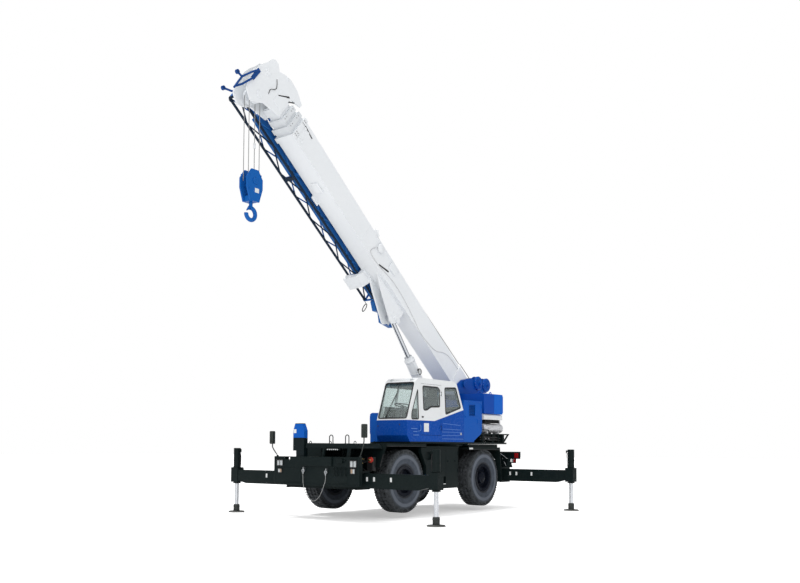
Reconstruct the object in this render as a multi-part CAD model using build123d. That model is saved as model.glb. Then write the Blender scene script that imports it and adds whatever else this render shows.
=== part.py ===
"""Two-axle rough-terrain mobile crane on its four extended outriggers.

Millimetres. +X forward, +Y to the left, +Z up. Stations along X are measured
from the middle between the front and rear outriggers, and the ground is Z = 0.
The finished solids are shifted along X so that the box over everything stands
centred over the origin.
"""

from build123d import *
import math
import os

os.makedirs("parts", exist_ok=True)

# Driving dimensions: running clearances
seat_gap = 0.3            # gap at a seat, pin, pad or rod
slide_gap = 6.0           # gap round a beam in its tunnel

# Carrier
outrigger_x = 3156.0      # station of the outriggers, front and rear
frame_half_width = 375.0
frame_bottom = 720.0
frame_top = 1440.0
frame_arch_top = 1040.0   # underside of the frame over an axle
frame_arch_half = 300.0
carrier_half_width = 1310.0
bumper_rear = 3470.0
bumper_front = 3600.0
bumper_bottom = 775.0
bumper_top = 1440.0
rear_end = -3530.0
deck_top = 1690.0
deck_thick = 30.0
deck_front = 2600.0
deck_rear = -2450.0
front_deck_top = 1742.0
front_deck_end = 3500.0
front_deck_left = 1140.0
front_deck_right = -370.0
fender_top = 1750.0
rear_fender_top = 1670.0
fender_thick = 25.0
mid_deck_front = 1020.0   # where the wide middle of the deck ends at the front fenders
side_box_front = 850.0    # clear of the steered tyre
side_cover_front = 985.0  # the outer cover reaches on past the box
side_cover_peak = 1200.0
side_cover_y = 1190.0
side_box_rear = -430.0
side_box_bottom = 640.0
side_box_inset = 30.0     # how far the side boxes stand inside the carrier's side

# Tow points and the tie rope that hangs between them
tow_x = 3655.0
tow_points = [(-310.0, 1115.0), (385.0, 1090.0)]
tow_socket = 70.0
tie_rope_radius = 7.0

# Axles and wheels
front_axle_x = 1832.0
rear_axle_x = -1668.0
wheel_z = 865.5
wheel_y = 1085.0
tyre_radius = 746.5
tyre_half_width = 215.0
bead_radius = 317.0
kingpin_y = 735.0
kingpin_radius = 45.0
kingpin_half_height = 170.0
yoke_gap = 106.0          # half the opening between the yoke's arms
axle_radius = 110.0
axle_end_y = 600.0
spindle_radius = 70.0

# Outriggers
beam_width = 170.0
beam_bottom = 745.0
beam_top = 1075.0
beam_half_pitch = 95.0    # left and right beams lie side by side
beam_inner_y = 700.0
beam_tip_rise = 75.0
beam_tip_length = 300.0
jack_y = 3150.0
jack_travel_in = 1940.0
jack_box_half = 118.0     # end block round the jack's casing
jack_box_inner = 98.0     # less on the side of the other beam
jack_box_bottom = 765.0
jack_box_top = 1130.0
jack_casing_radius = 88.0
jack_casing_bottom = 730.0
jack_casing_top = 1620.0  # passes under the front deck when drawn in
jack_rod_radius = 52.0
jack_rod_top = 1120.0
jack_stroke = 420.0
foot_radius = 78.0
foot_top = 200.0
float_radius = 200.0
float_thick = 25.0
housing_half_length = 1080.0
housing_half_depth = 230.0
housing_wall = 30.0

# Superstructure
slew_x = -350.0
ring_radius = 620.0
ring_top = 1705.0
turntable_bottom = 1705.3
turntable_top = 1800.0
turntable_plate = 40.0
upper_half_width = 1270.0
upper_front = 1620.0
upper_right_front = 0.0   # the deck reaches less far forward on the right
upper_rear = -2890.0
lower_frame_front = 350.0
lower_frame_rear = -1680.0
lower_frame_bottom = 1712.0
lower_frame_step = -900.0
sweep_radius = 1370.0     # stays inside the fenders' ends as it slews
plate_inner = 300.0       # side plates that carry the boom foot
plate_thick = 45.0
housing_rear = -1636.0
housing_top = 2900.0
housing_bottom = 1840.0
right_housing_top = 2560.0
louvre_front = -990.0
louvre_rear = -1286.0
louvre_bottom = 2500.0
louvre_top = 2780.0
louvre_depth = 30.0
slat_pitch = 40.0
weight_bottom = 2590.0
weight_top = 3140.0
weight_front = -1964.0
weight_rear = -2975.0
weight_half_width = 1110.0

# Engine bay behind the left housing
engine_front = -1750.0
engine_rear = -2800.0
engine_inner = 400.0
engine_outer = 800.0
engine_top = 2340.0
grille_height = 90.0
grille_front = -2090.0
grille_rear = -2830.0
hood_front = -1970.0
hood_rear = -2950.0
hood_outer = 1100.0
silencer_y = 950.0
silencer_z = 2200.0
silencer_radius = 125.0
silencer_front = -2090.0
silencer_rear = -3105.0
rack_outer = 1200.0
rack_inner = 850.0
rack_top = 2045.0
rack_rear = -3160.0

# Cab
cab_left = 1270.0
cab_right = 352.0
cab_wall = 50.0
cab_front = 1760.0
cab_roof = 3350.0
cab_belt = 2320.0         # foot of the raked windscreen
cab_eaves = 3260.0        # top of the raked windscreen
cab_eaves_x = 1430.0
cab_rear = -720.0
glass_thick = 6.0
glass_inset = 20.0
window_bottom = 2360.0    # windscreen
window_top = 3235.0
window_side = 32.0        # from the windscreen's opening to the cab's side
door_front = 1200.0
door_rear = 330.0
door_bottom = 1960.0
door_top = cab_roof - 130
door_gap = 8.0
door_thick = 45.0
hinge_x = 320.0
hinge_y = cab_left + 20
hinge_pin_radius = 8.0
hinge_levels = [door_bottom + 190, door_top - 215]
door_open = 80.0
nose_right = 114.0        # the body's nose beside the cab
nose_top = 2500.0

# Boom
boom_angle = 39.0
pivot_x = -2150.0
pivot_z = 3420.0
pivot_radius = 65.0
boom_width = 520.0
boom_height = 600.0
boom_wall = 14.0
section_step = 32.0       # how much smaller each section is, on each side
boom_tail = -300.0
boom_front = 8600.0
section_reach = 190.0     # how far each section stands out of the last one
boom_stroke = 7000.0
head_sheave_s = 9740.0
head_sheave_n = -450.0
upper_sheave_s = 9900.0
upper_sheave_n = 480.0
sheave_radius = 155.0
sheave_pitch = 150.0
rope_radius = 8.0
head_end = 10140.0
head_plate_gap = 20.0      # between the top section and the head's side plates
head_plate_thick = 40.0
fork_tip_s = 10420.0
fork_tip_n = -670.0
fork_bar_s = 10260.0       # lower end of the fork's bent arm, the crane's foremost point
fork_bar_n = -1000.0
fork_wire = 23.0

# Jib folded back along the right side: its chords at (y, n), and where the boom holds it
jib_chords = [(-325, -60), (-640, -60), (-640, -420), (-325, -420)]
jib_chord_radius = 30.0
jib_lattice_span = (3750.0, 9850.0)
jib_stage_span = (2660.0, 9200.0)
jib_stage_bottom = -340
jib_seats = [4550, 7600]
jib_tray = (4290.0, 4650.0)

# Elevating cylinder
barrel_pin_x = -1567.0
barrel_pin_z = 2045.0
rod_pin_s = 3250.0
rod_pin_n = -630.0
rod_eye_radius = 85.0
barrel_radius = 130.0
barrel_length = 2540.0
luff_rod_radius = 62.0
luff_rod_inner = 1200.0   # where the rod starts inside the barrel
luff_bore_bottom = 240.0
bracket_inner = 115.0     # plates under the boom that hold the rod's eye
bracket_thick = 45.0

# Hook block
hook_top_z = 7580.0
hook_half_width = 225.0
hook_cheek_inner = 85.0
hook_cheek_thick = 40.0
hook_bottom_z = 6460.0
hook_ring_radius = 130.0
hook_bar_radius = 45.0

# Winches
winch_radius = 130.0
winch_flange = 195.0
winch_shaft_radius = 60.0
winch_half_length = 255.0
winches = [("main_winch_drum", -2850.0, 3490.0), ("aux_winch_drum", -3285.0, 3460.0)]

# Signs of the four corners: name, station sign, side sign
corners = [("fl", 1, 1), ("fr", 1, -1), ("rl", -1, 1), ("rr", -1, -1)]

# Where a point of the boom lies: s along it from the foot pivot, n above its middle line
boom_cos = math.cos(math.radians(boom_angle))
boom_sin = math.sin(math.radians(boom_angle))


def boom_point(s, n):
    """Station and height of a boom point."""
    return (pivot_x + s * boom_cos - n * boom_sin, pivot_z + s * boom_sin + n * boom_cos)


head_x, head_z = boom_point(head_sheave_s, head_sheave_n)
front_extent = boom_point(fork_bar_s, fork_bar_n)[0] + boom_cos * fork_wire
rear_extent = rear_end
x_shift = -(front_extent + rear_extent) / 2

# Shape helpers


def block(x0, x1, y0, y1, z0, z1):
    """Box between two corners."""
    return Pos((x0 + x1) / 2, (y0 + y1) / 2, (z0 + z1) / 2) * Box(x1 - x0, y1 - y0, z1 - z0)


def rod_x(y, z, radius, x0, x1):
    """Round bar along X."""
    return Pos((x0 + x1) / 2, y, z) * Rot(0, 90, 0) * Cylinder(radius, x1 - x0)


def rod_y(x, z, radius, y0, y1):
    """Round bar along Y."""
    return Pos(x, (y0 + y1) / 2, z) * Rot(90, 0, 0) * Cylinder(radius, y1 - y0)


def rod_z(x, y, radius, z0, z1):
    """Round bar along Z."""
    return Pos(x, y, (z0 + z1) / 2) * Cylinder(radius, z1 - z0)


def prism_y(outline, y0, y1):
    """Side outline of (x, z) points, as wide as y0 to y1."""
    face = make_face(Plane.XZ.offset(-y0) * Polyline(*outline, close=True))
    return extrude(face, amount=y1 - y0, dir=(0, 1, 0))


def prism_x(outline, x0, x1):
    """Cross outline of (y, z) points, as long as x0 to x1."""
    face = make_face(Plane.YZ.offset(x0) * Polyline(*outline, close=True))
    return extrude(face, amount=x1 - x0, dir=(1, 0, 0))


def turned_y(profile, x, y, z):
    """Profile of (radius, across) points turned about an axis along Y."""
    face = make_face(Polyline(*[(r, a, 0) for r, a in profile], close=True))
    return Pos(x, y, z) * revolve(face, Axis.Y)


def bar(start, end, radius):
    """Round bar between two points."""
    line = Line(start, end)
    return sweep(Plane(origin=start, z_dir=line % 0) * Circle(radius), path=line)


def mirrored(shape):
    """The same shape on the other side of the middle plane."""
    return mirror(shape, about=Plane.XZ)


def on_boom(shape):
    """Shape drawn level from the foot pivot, raised to the boom's angle."""
    return Pos(pivot_x, 0, pivot_z) * Rot(0, -boom_angle, 0) * shape


def save(name, *shapes):
    """One node: its solids, shifted to the common origin."""
    solids = []
    for shape in shapes:
        solids.extend((Pos(x_shift, 0, 0) * shape).solids())
    whole = solids[0] if len(solids) == 1 else Compound(children=solids)
    export_step(whole, f"parts/{name}.step")


# Carrier frame: centre box over the axles, outrigger housings, slewing ring


def tunnel(station, side):
    """Inside of one beam tunnel; it opens on the side where its beam comes out."""
    x = station * outrigger_x + side * beam_half_pitch
    half = beam_width / 2 + slide_gap
    y0, y1 = sorted((-side * (housing_half_length + 1), side * (housing_half_length + 1)))
    return block(x - half, x + half, y0, y1, beam_bottom - slide_gap, beam_top + slide_gap)


def tunnel_pad(station, side):
    """Wear pad under the beam at the mouth of its tunnel."""
    x = station * outrigger_x + side * beam_half_pitch
    y0, y1 = sorted((side * (housing_half_length - 150), side * housing_half_length))
    half = beam_width / 2
    return block(x - half, x + half, y0, y1, beam_bottom - slide_gap, beam_bottom - seat_gap)


def axle_arch(x):
    """Cut-out of the frame over an axle."""
    half = frame_arch_half
    outline = [(x - half - 80, 0), (x + half + 80, 0), (x + half + 80, frame_bottom),
               (x + half, frame_arch_top), (x - half, frame_arch_top), (x - half - 80, frame_bottom)]
    return prism_y(outline, -600, 600)


def carrier_frame():
    """Frame with both outrigger housings and the slewing ring in one weldment."""
    reach = outrigger_x - housing_half_depth
    body = block(-reach, reach, -frame_half_width, frame_half_width, frame_bottom, frame_top)
    body -= axle_arch(front_axle_x)
    body -= axle_arch(rear_axle_x)
    body += rod_z(slew_x, 0, ring_radius - 60, frame_top, ring_top - 40)
    body += rod_z(slew_x, 0, ring_radius, ring_top - 90, ring_top)
    wall_bottom = beam_bottom - slide_gap - housing_wall
    wall_top = beam_top + slide_gap + housing_wall
    for station in (1, -1):
        x = station * outrigger_x
        body += block(x - housing_half_depth, x + housing_half_depth,
                      -housing_half_length, housing_half_length, wall_bottom, wall_top)
        body += block(x - housing_half_depth, x + housing_half_depth,
                      -frame_half_width, frame_half_width, wall_top, frame_top)
    body += block(outrigger_x + housing_half_depth, bumper_rear, -frame_half_width, frame_half_width,
                  bumper_bottom, bumper_top)
    for name, station, side in corners:
        body -= tunnel(station, side)
    for name, station, side in corners:
        body += tunnel_pad(station, side)
    return body


save("carrier_frame", carrier_frame())


def front_bumper():
    """Full-width bumper with a pocket for each lamp cluster and a step cut in its top."""
    body = block(bumper_rear, bumper_front, -carrier_half_width, carrier_half_width,
                 bumper_bottom, bumper_top)
    for y0, y1, z0, z1 in lamp_pockets:
        body -= block(bumper_front - lamp_depth, bumper_front + 1, y0, y1, z0, z1)
    body -= block(bumper_rear - 1, bumper_front + 1, *step_slot, bumper_top - 70, bumper_top - 15)
    return edge_round(body, Axis.Z, bumper_corner)


# Pockets of the bumper lamps: y, y, z, z; and the slot under the bumper's top plate
lamp_depth = 35.0
lamp_pockets = [(-1195, -1005, 1218, 1352), (-1160, -1031, 1053, 1152),
                (1062, 1252, 1211, 1360), (1078, 1210, 1067, 1183)]
step_slot = (-935.0, -780.0)
bumper_corner = 25.0


def edge_round(body, axis, radius):
    """Round the outer upright edges of a plate."""
    box = body.bounding_box()
    picked = [e for e in body.edges().filter_by(axis)
              if abs(abs(e.center().Y) - box.max.Y) < 1 and abs(e.center().X - box.max.X) < 1]
    return fillet(picked, radius)


save("front_bumper", front_bumper())

# Deck over the frame, the front deck over the bumper, and the fenders round the wheels


def carrier_deck():
    """Deck plate that rests on the frame by two long webs."""
    deck = block(deck_rear, deck_front, -frame_half_width - 60, frame_half_width + 60,
                 deck_top - deck_thick, deck_top)
    deck += block(side_box_rear, mid_deck_front, -carrier_half_width, carrier_half_width,
                  deck_top - deck_thick, deck_top)
    for y in (-frame_half_width + 30, frame_half_width - 60):
        deck += block(deck_rear, slew_x - ring_radius + 70, y, y + 30, frame_top, deck_top - deck_thick)
        deck += block(slew_x + ring_radius + 350, deck_front, y, y + 30, frame_top, deck_top - deck_thick)
    deck -= rod_z(slew_x, 0, ring_radius + 10, 1000, 2000)
    return deck


save("carrier_deck", carrier_deck())


def front_deck():
    """Raised deck between the bumper and the cab, with its notch beside the left fender."""
    z0 = fender_notch_z
    outline = [(front_deck_right, front_deck_top), (front_deck_left, front_deck_top),
               (fender_notch_y, z0), (front_deck_right, z0)]
    deck = prism_x(outline, deck_front + 50, front_deck_end)
    deck += block(deck_front, deck_front + 51, front_deck_right, frame_half_width + 55, z0, front_deck_top)
    for y in (-frame_half_width + 30, frame_half_width - 60):
        deck += block(deck_front, deck_front + 400, y, y + 30, frame_top, z0 + 1)
    deck += block(deck_front, deck_front + 30, front_deck_right, frame_half_width, frame_top, z0 + 1)
    for y in (150, 900):
        deck += prism_y([(front_deck_end - 60, z0), (front_deck_end, z0), (bumper_front - 60, bumper_top),
                         (bumper_front - 120, bumper_top)], y, y + 60)
    for y0, y1 in hoop_spans:
        deck += hoop(y0, y1)
    return deck


# Where the front deck's edge slopes down beside the left fender, and the two hand hoops on it
fender_notch_y = 1246.0
fender_notch_z = 1634.0
hoop_spans = [(182.0, 288.0), (667.0, 769.0)]
hoop_x = 3300.0
hoop_top = 1950.0
hoop_wire = 11.0


def hoop(y0, y1):
    """Hand hoop of round bar standing on the front deck."""
    radius = (y1 - y0) / 2
    low = front_deck_top - 10
    high = hoop_top - radius - hoop_wire
    path = Wire([Line((hoop_x, y0, low), (hoop_x, y0, high)),
                 ThreePointArc((hoop_x, y0, high), (hoop_x, (y0 + y1) / 2, high + radius),
                               (hoop_x, y1, high)),
                 Line((hoop_x, y1, high), (hoop_x, y1, low))])
    return sweep(Plane(origin=(hoop_x, y0, low), z_dir=(0, 0, 1)) * Circle(hoop_wire), path=path)


save("front_deck", front_deck())

# Fenders: x where the flat top starts and ends, top, x and z of the guard's foot
# The guards end higher inside guard_outer_y, clear of the steered tyres
guard_outer_y = 1130.0
guard_inner_foot = 1350.0
front_fender = (deck_front, mid_deck_front, fender_top, 2830.0, 1200.0)
rear_fender = (-900.0, -2470.0, rear_fender_top, -2585.0, 750.0)


def fender(x_high, x_low, top, foot_x, foot_z):
    """Left fender: flat top over the tyre, slanted guard at its outer end, inner cheek."""
    outer = max if foot_x > 0 else min
    end = outer(x_high, x_low)
    sign = 1 if foot_x > 0 else -1
    over = block(min(x_high, x_low), max(x_high, x_low), frame_half_width + 60, carrier_half_width,
                 top - fender_thick, top)
    slope = (foot_x - end) / (top - foot_z)
    for y0, z in ((frame_half_width + 60, max(foot_z, guard_inner_foot)), (guard_outer_y, foot_z)):
        foot = end + slope * (top - z)
        guard = prism_y([(end - sign * fender_thick, top - 1), (end, top), (foot, z),
                         (foot - sign * fender_thick, z)], y0, carrier_half_width)
        over += guard
    lip = block(min(x_high, x_low), max(x_high, x_low), carrier_half_width - 12, carrier_half_width,
                top - 60, top)
    x0, x1 = sorted((end, end - sign * 60))
    brace = block(x0, x1, frame_half_width + 60, frame_half_width + 110, deck_top - 150, top)
    return over + lip + brace


left_fenders = [fender(*front_fender), fender(*rear_fender)]
save("fenders", *left_fenders, *[mirrored(shape) for shape in left_fenders])

# Side boxes between the wheels: tool box on the left, fuel tank on the right


def side_box(side):
    """Box bolted to the frame's side, with a step well and a round recess towards the front."""
    outer = carrier_half_width - side_box_inset
    y0, y1 = sorted((side * frame_half_width, side * outer))
    top = deck_top - deck_thick
    box = block(side_box_rear, side_box_front, y0, y1, side_box_bottom, top)
    y0, y1 = sorted((side * side_cover_y, side * outer))
    box += prism_y([(side_box_front - 20, side_box_bottom), (side_cover_front - 25, side_box_bottom),
                    (side_cover_front, side_box_bottom + 40), (side_cover_front, 1200),
                    (side_cover_peak - 15, 1540), (side_cover_peak, top - 20), (side_cover_peak, top),
                    (side_box_front - 20, top)], y0, y1)
    y0, y1 = sorted((side * (outer - 120), side * (outer + 1)))
    box -= block(step_rear, step_front, y0, y1, step_z, step_z + 190)
    y0, y1 = sorted((side * (outer - 75), side * (outer + 1)))
    x0, x1 = recess_span
    box -= block(x0 + recess_radius, x1 - recess_radius, y0, y1, recess_z - recess_radius,
                 recess_z + recess_radius)
    for x in (x0 + recess_radius, x1 - recess_radius):
        box -= rod_y(x, recess_z, recess_radius - 0.2, y0, y1)
    box -= rod_z(slew_x, 0, ring_radius + 10, frame_top - 1, ring_top)
    y0, y1 = sorted((side * (outer - 6), side * (outer + 1)))
    for x in box_door_edges:
        box -= block(x - 4, x + 4, y0, y1, side_box_bottom + 320, top - 40)
    return box


# Step well, round recess and door joints of the side boxes
step_rear = 124.0
step_front = 386.0
step_z = 750.0
recess_span = (680.0, 1030.0)
recess_z = 1454.0
recess_radius = 96.0
box_door_edges = [124.0, 346.0]

save("side_boxes", side_box(1), side_box(-1))

# Axles with their yokes, knuckles on kingpins, rims and tyres


def axle(axle_x):
    """Drive axle hung under the frame on four pads."""
    body = rod_y(axle_x, wheel_z, axle_radius, -axle_end_y, axle_end_y)
    body += turned_y([(0, -250), (115, -235), (168, -100), (168, 100), (115, 235), (0, 250)],
                     axle_x, 0, wheel_z)
    for side in (1, -1):
        for level in (1, -1):
            z0, z1 = sorted((wheel_z + level * kingpin_half_height, wheel_z + level * yoke_gap))
            y0, y1 = sorted((side * (axle_end_y - 60), side * (kingpin_y + 60)))
            body += block(axle_x - 60, axle_x + 60, y0, y1, z0, z1)
        y0, y1 = sorted((side * (axle_end_y - 60), side * (axle_end_y + 10)))
        body += block(axle_x - 60, axle_x + 60, y0, y1, wheel_z - kingpin_half_height,
                      wheel_z + kingpin_half_height)
        y0, y1 = sorted((side * 240, side * 340))
        body += block(axle_x - 90, axle_x + 90, y0, y1, wheel_z, frame_arch_top)
        body -= rod_z(axle_x, side * kingpin_y, kingpin_radius + seat_gap, 500, 1200)
    return body


save("front_axle", axle(front_axle_x))
save("rear_axle", axle(rear_axle_x))


def knuckle(axle_x, side):
    """Steering knuckle: kingpin, block between the yoke's arms, spindle."""
    body = rod_z(axle_x, side * kingpin_y, kingpin_radius, wheel_z - kingpin_half_height,
                 wheel_z + kingpin_half_height)
    y0, y1 = sorted((side * (kingpin_y - 60), side * (kingpin_y + 110)))
    body += block(axle_x - 75, axle_x + 75, y0, y1, wheel_z - 100, wheel_z + 100)
    y0, y1 = sorted((side * kingpin_y, side * (wheel_y + 60)))
    body += rod_y(axle_x, wheel_z, spindle_radius, y0, y1)
    return body


# Tyre: profile of (radius, across) from bead to bead, and its shoulder lugs
flange_radius = 368.0
lug_height = 30.0
lug_count = 22
lug_width = 62.0
lug_inner_y = 18.0
lug_outer_y = 196.0
tread_radius = tyre_radius - lug_height
tyre_profile = [(bead_radius + seat_gap, -166), (flange_radius + 8, -172), (430, -196),
                (540, -tyre_half_width), (640, -206), (tread_radius - 22, -178), (tread_radius, -130),
                (tread_radius, 130), (tread_radius - 22, 178), (640, 206), (540, tyre_half_width),
                (430, 196), (flange_radius + 8, 172), (bead_radius + seat_gap, 166)]


def tyre(axle_x, side):
    """Carcass turned from its profile, with two staggered rows of shoulder lugs fused to it."""
    body = turned_y(tyre_profile, 0, 0, 0)
    lugs = []
    for row in (1, -1):
        for k in range(lug_count):
            lug = prism_x([(row * lug_inner_y, tread_radius - 12), (row * lug_outer_y, tread_radius - 62),
                           (row * lug_outer_y, tyre_radius - 26), (row * (lug_outer_y - 34), tyre_radius),
                           (row * lug_inner_y, tyre_radius)], -lug_width / 2, lug_width / 2)
            angle = 360.0 / lug_count * (k + (0.5 if row > 0 else 0.0))
            lugs.append(Rot(0, angle, 0) * lug)
    body = body.fuse(*lugs)
    return Pos(axle_x, side * wheel_y, wheel_z) * body


def rim(axle_x, side):
    """Steel disc wheel with its flanges, deep outer dish and hub turned on the spindle."""
    out = side
    lip = 165.4
    profile = [(spindle_radius + seat_gap, -90 * out), (130, -90 * out), (150, 20 * out),
               (290, 30 * out), (290, -lip * out), (bead_radius, -(lip + 0.3) * out),
               (bead_radius, lip * out), (290, lip * out), (290, 70 * out), (170, 60 * out),
               (140, 150 * out), (110, 165 * out), (0, 165 * out), (0, 75 * out),
               (spindle_radius + seat_gap, 75 * out)]
    body = turned_y(profile, axle_x, side * wheel_y, wheel_z)
    for end in (1, -1):
        flange = turned_y([(290, end * lip), (bead_radius, end * lip), (bead_radius, end * (lip + 0.9)),
                           (flange_radius - 6, end * (lip + 7.5)), (flange_radius, end * (lip + 16)),
                           (flange_radius - 6, end * (lip + 24)), (290, end * (lip + 12))],
                          axle_x, side * wheel_y, wheel_z)
        body += flange
    return body


for name, station, side in corners:
    axle_x = front_axle_x if station > 0 else rear_axle_x
    save(f"knuckle_{name}", knuckle(axle_x, side))
    save(f"tyre_{name}", tyre(axle_x, side))
    save(f"rim_{name}", rim(axle_x, side))

# Outrigger beams with their jack casings, and the jacks' rods and floats


def outrigger_beam(station, side):
    """Box beam with the end block and the upright casing of its jack."""
    x = station * outrigger_x + side * beam_half_pitch
    tip = jack_y - jack_box_half + 10
    outline = [(side * beam_inner_y, beam_bottom), (side * (tip - beam_tip_length), beam_bottom),
               (side * tip, beam_bottom + beam_tip_rise), (side * tip, beam_top),
               (side * beam_inner_y, beam_top)]
    body = prism_x(outline, x - beam_width / 2, x + beam_width / 2)
    x0, x1 = sorted((x - side * jack_box_inner, x + side * jack_box_half))
    y0, y1 = sorted((side * (jack_y - jack_box_half), side * (jack_y + jack_box_half)))
    body += block(x0, x1, y0, y1, jack_box_bottom, jack_box_top)
    body += rod_z(x, side * jack_y, jack_casing_radius, jack_casing_bottom, jack_casing_top)
    body -= rod_z(x, side * jack_y, jack_rod_radius + seat_gap, 0, jack_casing_top - 40)
    return body


def jack(station, side):
    """Rod, foot and float of one jack."""
    x = station * outrigger_x + side * beam_half_pitch
    y = side * jack_y
    body = rod_z(x, y, jack_rod_radius, float_thick, jack_rod_top)
    body += Pos(x, y, 0) * revolve(make_face(Plane.XZ * Polyline(
        (0, 0), (float_radius, 0), (float_radius, float_thick - 8), (foot_radius + 40, float_thick),
        (foot_radius, float_thick + 10), (foot_radius, foot_top - 10), (foot_radius - 10, foot_top),
        (0, foot_top), close=True)), Axis.Z)
    return body


for name, station, side in corners:
    save(f"beam_{name}", outrigger_beam(station, side))
    save(f"jack_{name}", jack(station, side))

# Lamps on the carrier: two stacked pairs in the bumper's pockets, a lamp bar on each side behind
rear_lamp_span = (700.0, 1354.0)
rear_lamp_z = (1346.0, 1544.0)
rear_lamp_depth = 55.0
rear_stay_span = (996.0, 1224.0)


def front_lamp(y0, y1, z0, z1):
    """Lens block that stands a little out of its pocket."""
    edge = 9.0
    return block(bumper_front - lamp_depth, bumper_front + 12, y0 + edge, y1 - edge, z0 + edge, z1 - edge)


def rear_lamp():
    """Left lamp bar on its plate stay, which rises from the rear outrigger housing."""
    y0, y1 = rear_lamp_span
    z0, z1 = rear_lamp_z
    bar_box = block(rear_end, rear_end + rear_lamp_depth, y0, y1, z0, z1)
    stay_bottom = beam_top + slide_gap + housing_wall
    rear = -outrigger_x - housing_half_depth
    stay = prism_y([(rear + 60, stay_bottom), (rear, stay_bottom), (rear_end + rear_lamp_depth - 5, z0 + 30),
                    (rear_end + rear_lamp_depth - 5, z1 - 20), (rear_end + rear_lamp_depth + 20, z1 - 20),
                    (rear_end + rear_lamp_depth + 20, z0 + 30)], rear_stay_span[0],
                   min(rear_stay_span[1], housing_half_length))
    return bar_box + stay


save("carrier_lamps", *[front_lamp(*pocket) for pocket in lamp_pockets])
save("rear_lamp_bars", rear_lamp(), mirrored(rear_lamp()))

# Mirrors: head from corner to corner, then the points of its bent stalk
mirror_stalk = 13.0


def mirror_set(head_y0, head_y1, head_z0, head_z1, points):
    """Rounded mirror head on a bent stalk."""
    head = block(3380, 3450, head_y0, head_y1, head_z0, head_z1)
    head = fillet(head.edges().filter_by(Axis.X), 25)
    body = head
    for a, b in zip(points, points[1:]):
        body += bar(a, b, mirror_stalk)
    for b in points[1:-1]:
        body += Pos(*b) * Sphere(mirror_stalk)
    x, y, z = points[-1]
    return body + rod_z(x, y, 28, bumper_top, bumper_top + 25)


left_mirror_y = carrier_half_width - 60
save("mirrors",
     mirror_set(left_mirror_y, left_mirror_y + 125, 1872, 2180,
                [(3415, left_mirror_y + 55, 1900), (3415, left_mirror_y + 55, 1790),
                 (3440, left_mirror_y + 15, fender_notch_z - 60), (3500, left_mirror_y + 15, bumper_top + 15)]),
     mirror_set(-carrier_half_width - 300, -carrier_half_width - 180, 1730, 2040,
                [(3415, -carrier_half_width - 235, 1760), (3415, -carrier_half_width - 235, 1660),
                 (3440, -carrier_half_width - 160, 1590), (3520, -carrier_half_width + 45, bumper_top + 15)]))

# Boom rest post on the front bumper
rest_y0 = -746.0
rest_y1 = -400.0
rest_top_y0 = -691.0
rest_top_y1 = -467.0
rest_foot_y0 = -648.0


def boom_rest():
    """Hollow-section post with a tapered cap on a narrower foot."""
    x0, x1 = bumper_rear - 60, bumper_rear + 65
    outline = [(rest_foot_y0, bumper_top), (rest_foot_y0, 1576), (rest_y0, 1576), (rest_y0, 2040),
               (rest_top_y0, 2200), (rest_top_y1, 2200), (rest_y1, 2040), (rest_y1, bumper_top)]
    return prism_x(outline, x0, x1)


save("boom_rest", boom_rest())

# Tow points on the front bumper and the tie rope hanging between them


def tow_point(y, z):
    """Lug on the bumper with a shackle bow and the rope's swaged socket."""
    lug = block(bumper_front, tow_x, y - 9, y + 9, z - 25, z + 85)
    bow = Pos(tow_x, y, z) * Rot(0, 90, 0) * Torus(34, 10)
    socket = rod_z(tow_x, y, 15, z - tow_socket, z - 25)
    return lug + bow + socket


save("tow_shackles", *[tow_point(y, z) for y, z in tow_points])

# Points of the rope, (y, z) in the plane in front of the bumper
rope_route = [(-310, 1115 - tow_socket), (-310, 925), (-300, 800), (-262, 680), (-205, 575),
              (-125, 485), (-25, 430), (80, 440), (172, 500), (245, 595), (300, 705), (346, 815),
              (385, 905), (385, 1090 - tow_socket)]


def tie_rope():
    """Round tube of straight runs joined by tangent arcs."""
    points = [Vector(tow_x, y, z) for y, z in rope_route]
    radii = []
    for before, here, after in zip(points, points[1:], points[2:]):
        turn = math.radians((here - before).get_angle(after - here))
        run = min((here - before).length, (after - here).length)
        radii.append(0.45 * run / math.tan(turn / 2))
    print("tie rope radii", [round(radius) for radius in radii])
    path = FilletPolyline(*points, radius=radii)
    section = Plane(origin=points[0], z_dir=path % 0) * Circle(tie_rope_radius)
    tube = sweep(section, path=path)
    print("tie rope length", round(path.length), "volume ratio",
          tube.volume / (math.pi * tie_rope_radius ** 2 * path.length))
    return tube


save("tie_rope", tie_rope())

# Superstructure: turntable, deck, boom foot plates, cylinder and winch brackets


def foot_plate():
    """Left side plate from the deck up to the boom foot and the winches."""
    outline = [(700, turntable_top - 5), (560, 2250), (-900, 2700), (pivot_x + 314, 2971),
               (pivot_x + 366, pivot_z - 37), (pivot_x + 114, pivot_z + 117), (pivot_x - 402, pivot_z + 205),
               (pivot_x - 500, pivot_z + 150), (-3440, 3420), (-3440, 3330), (-3330, 3240),
               (-2890, 3200), (-2890, turntable_top - 5)]
    plate = prism_y(outline, plate_inner, plate_inner + plate_thick)
    for name, x, z in winches:
        cover = turned_y([(0, 0), (winch_flange, 0), (winch_flange, 40), (winch_flange - 25, 60),
                          (90, 60), (70, 85), (0, 85)], x, plate_inner + plate_thick - 1, z)
        plate += cover
    return plate


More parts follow.
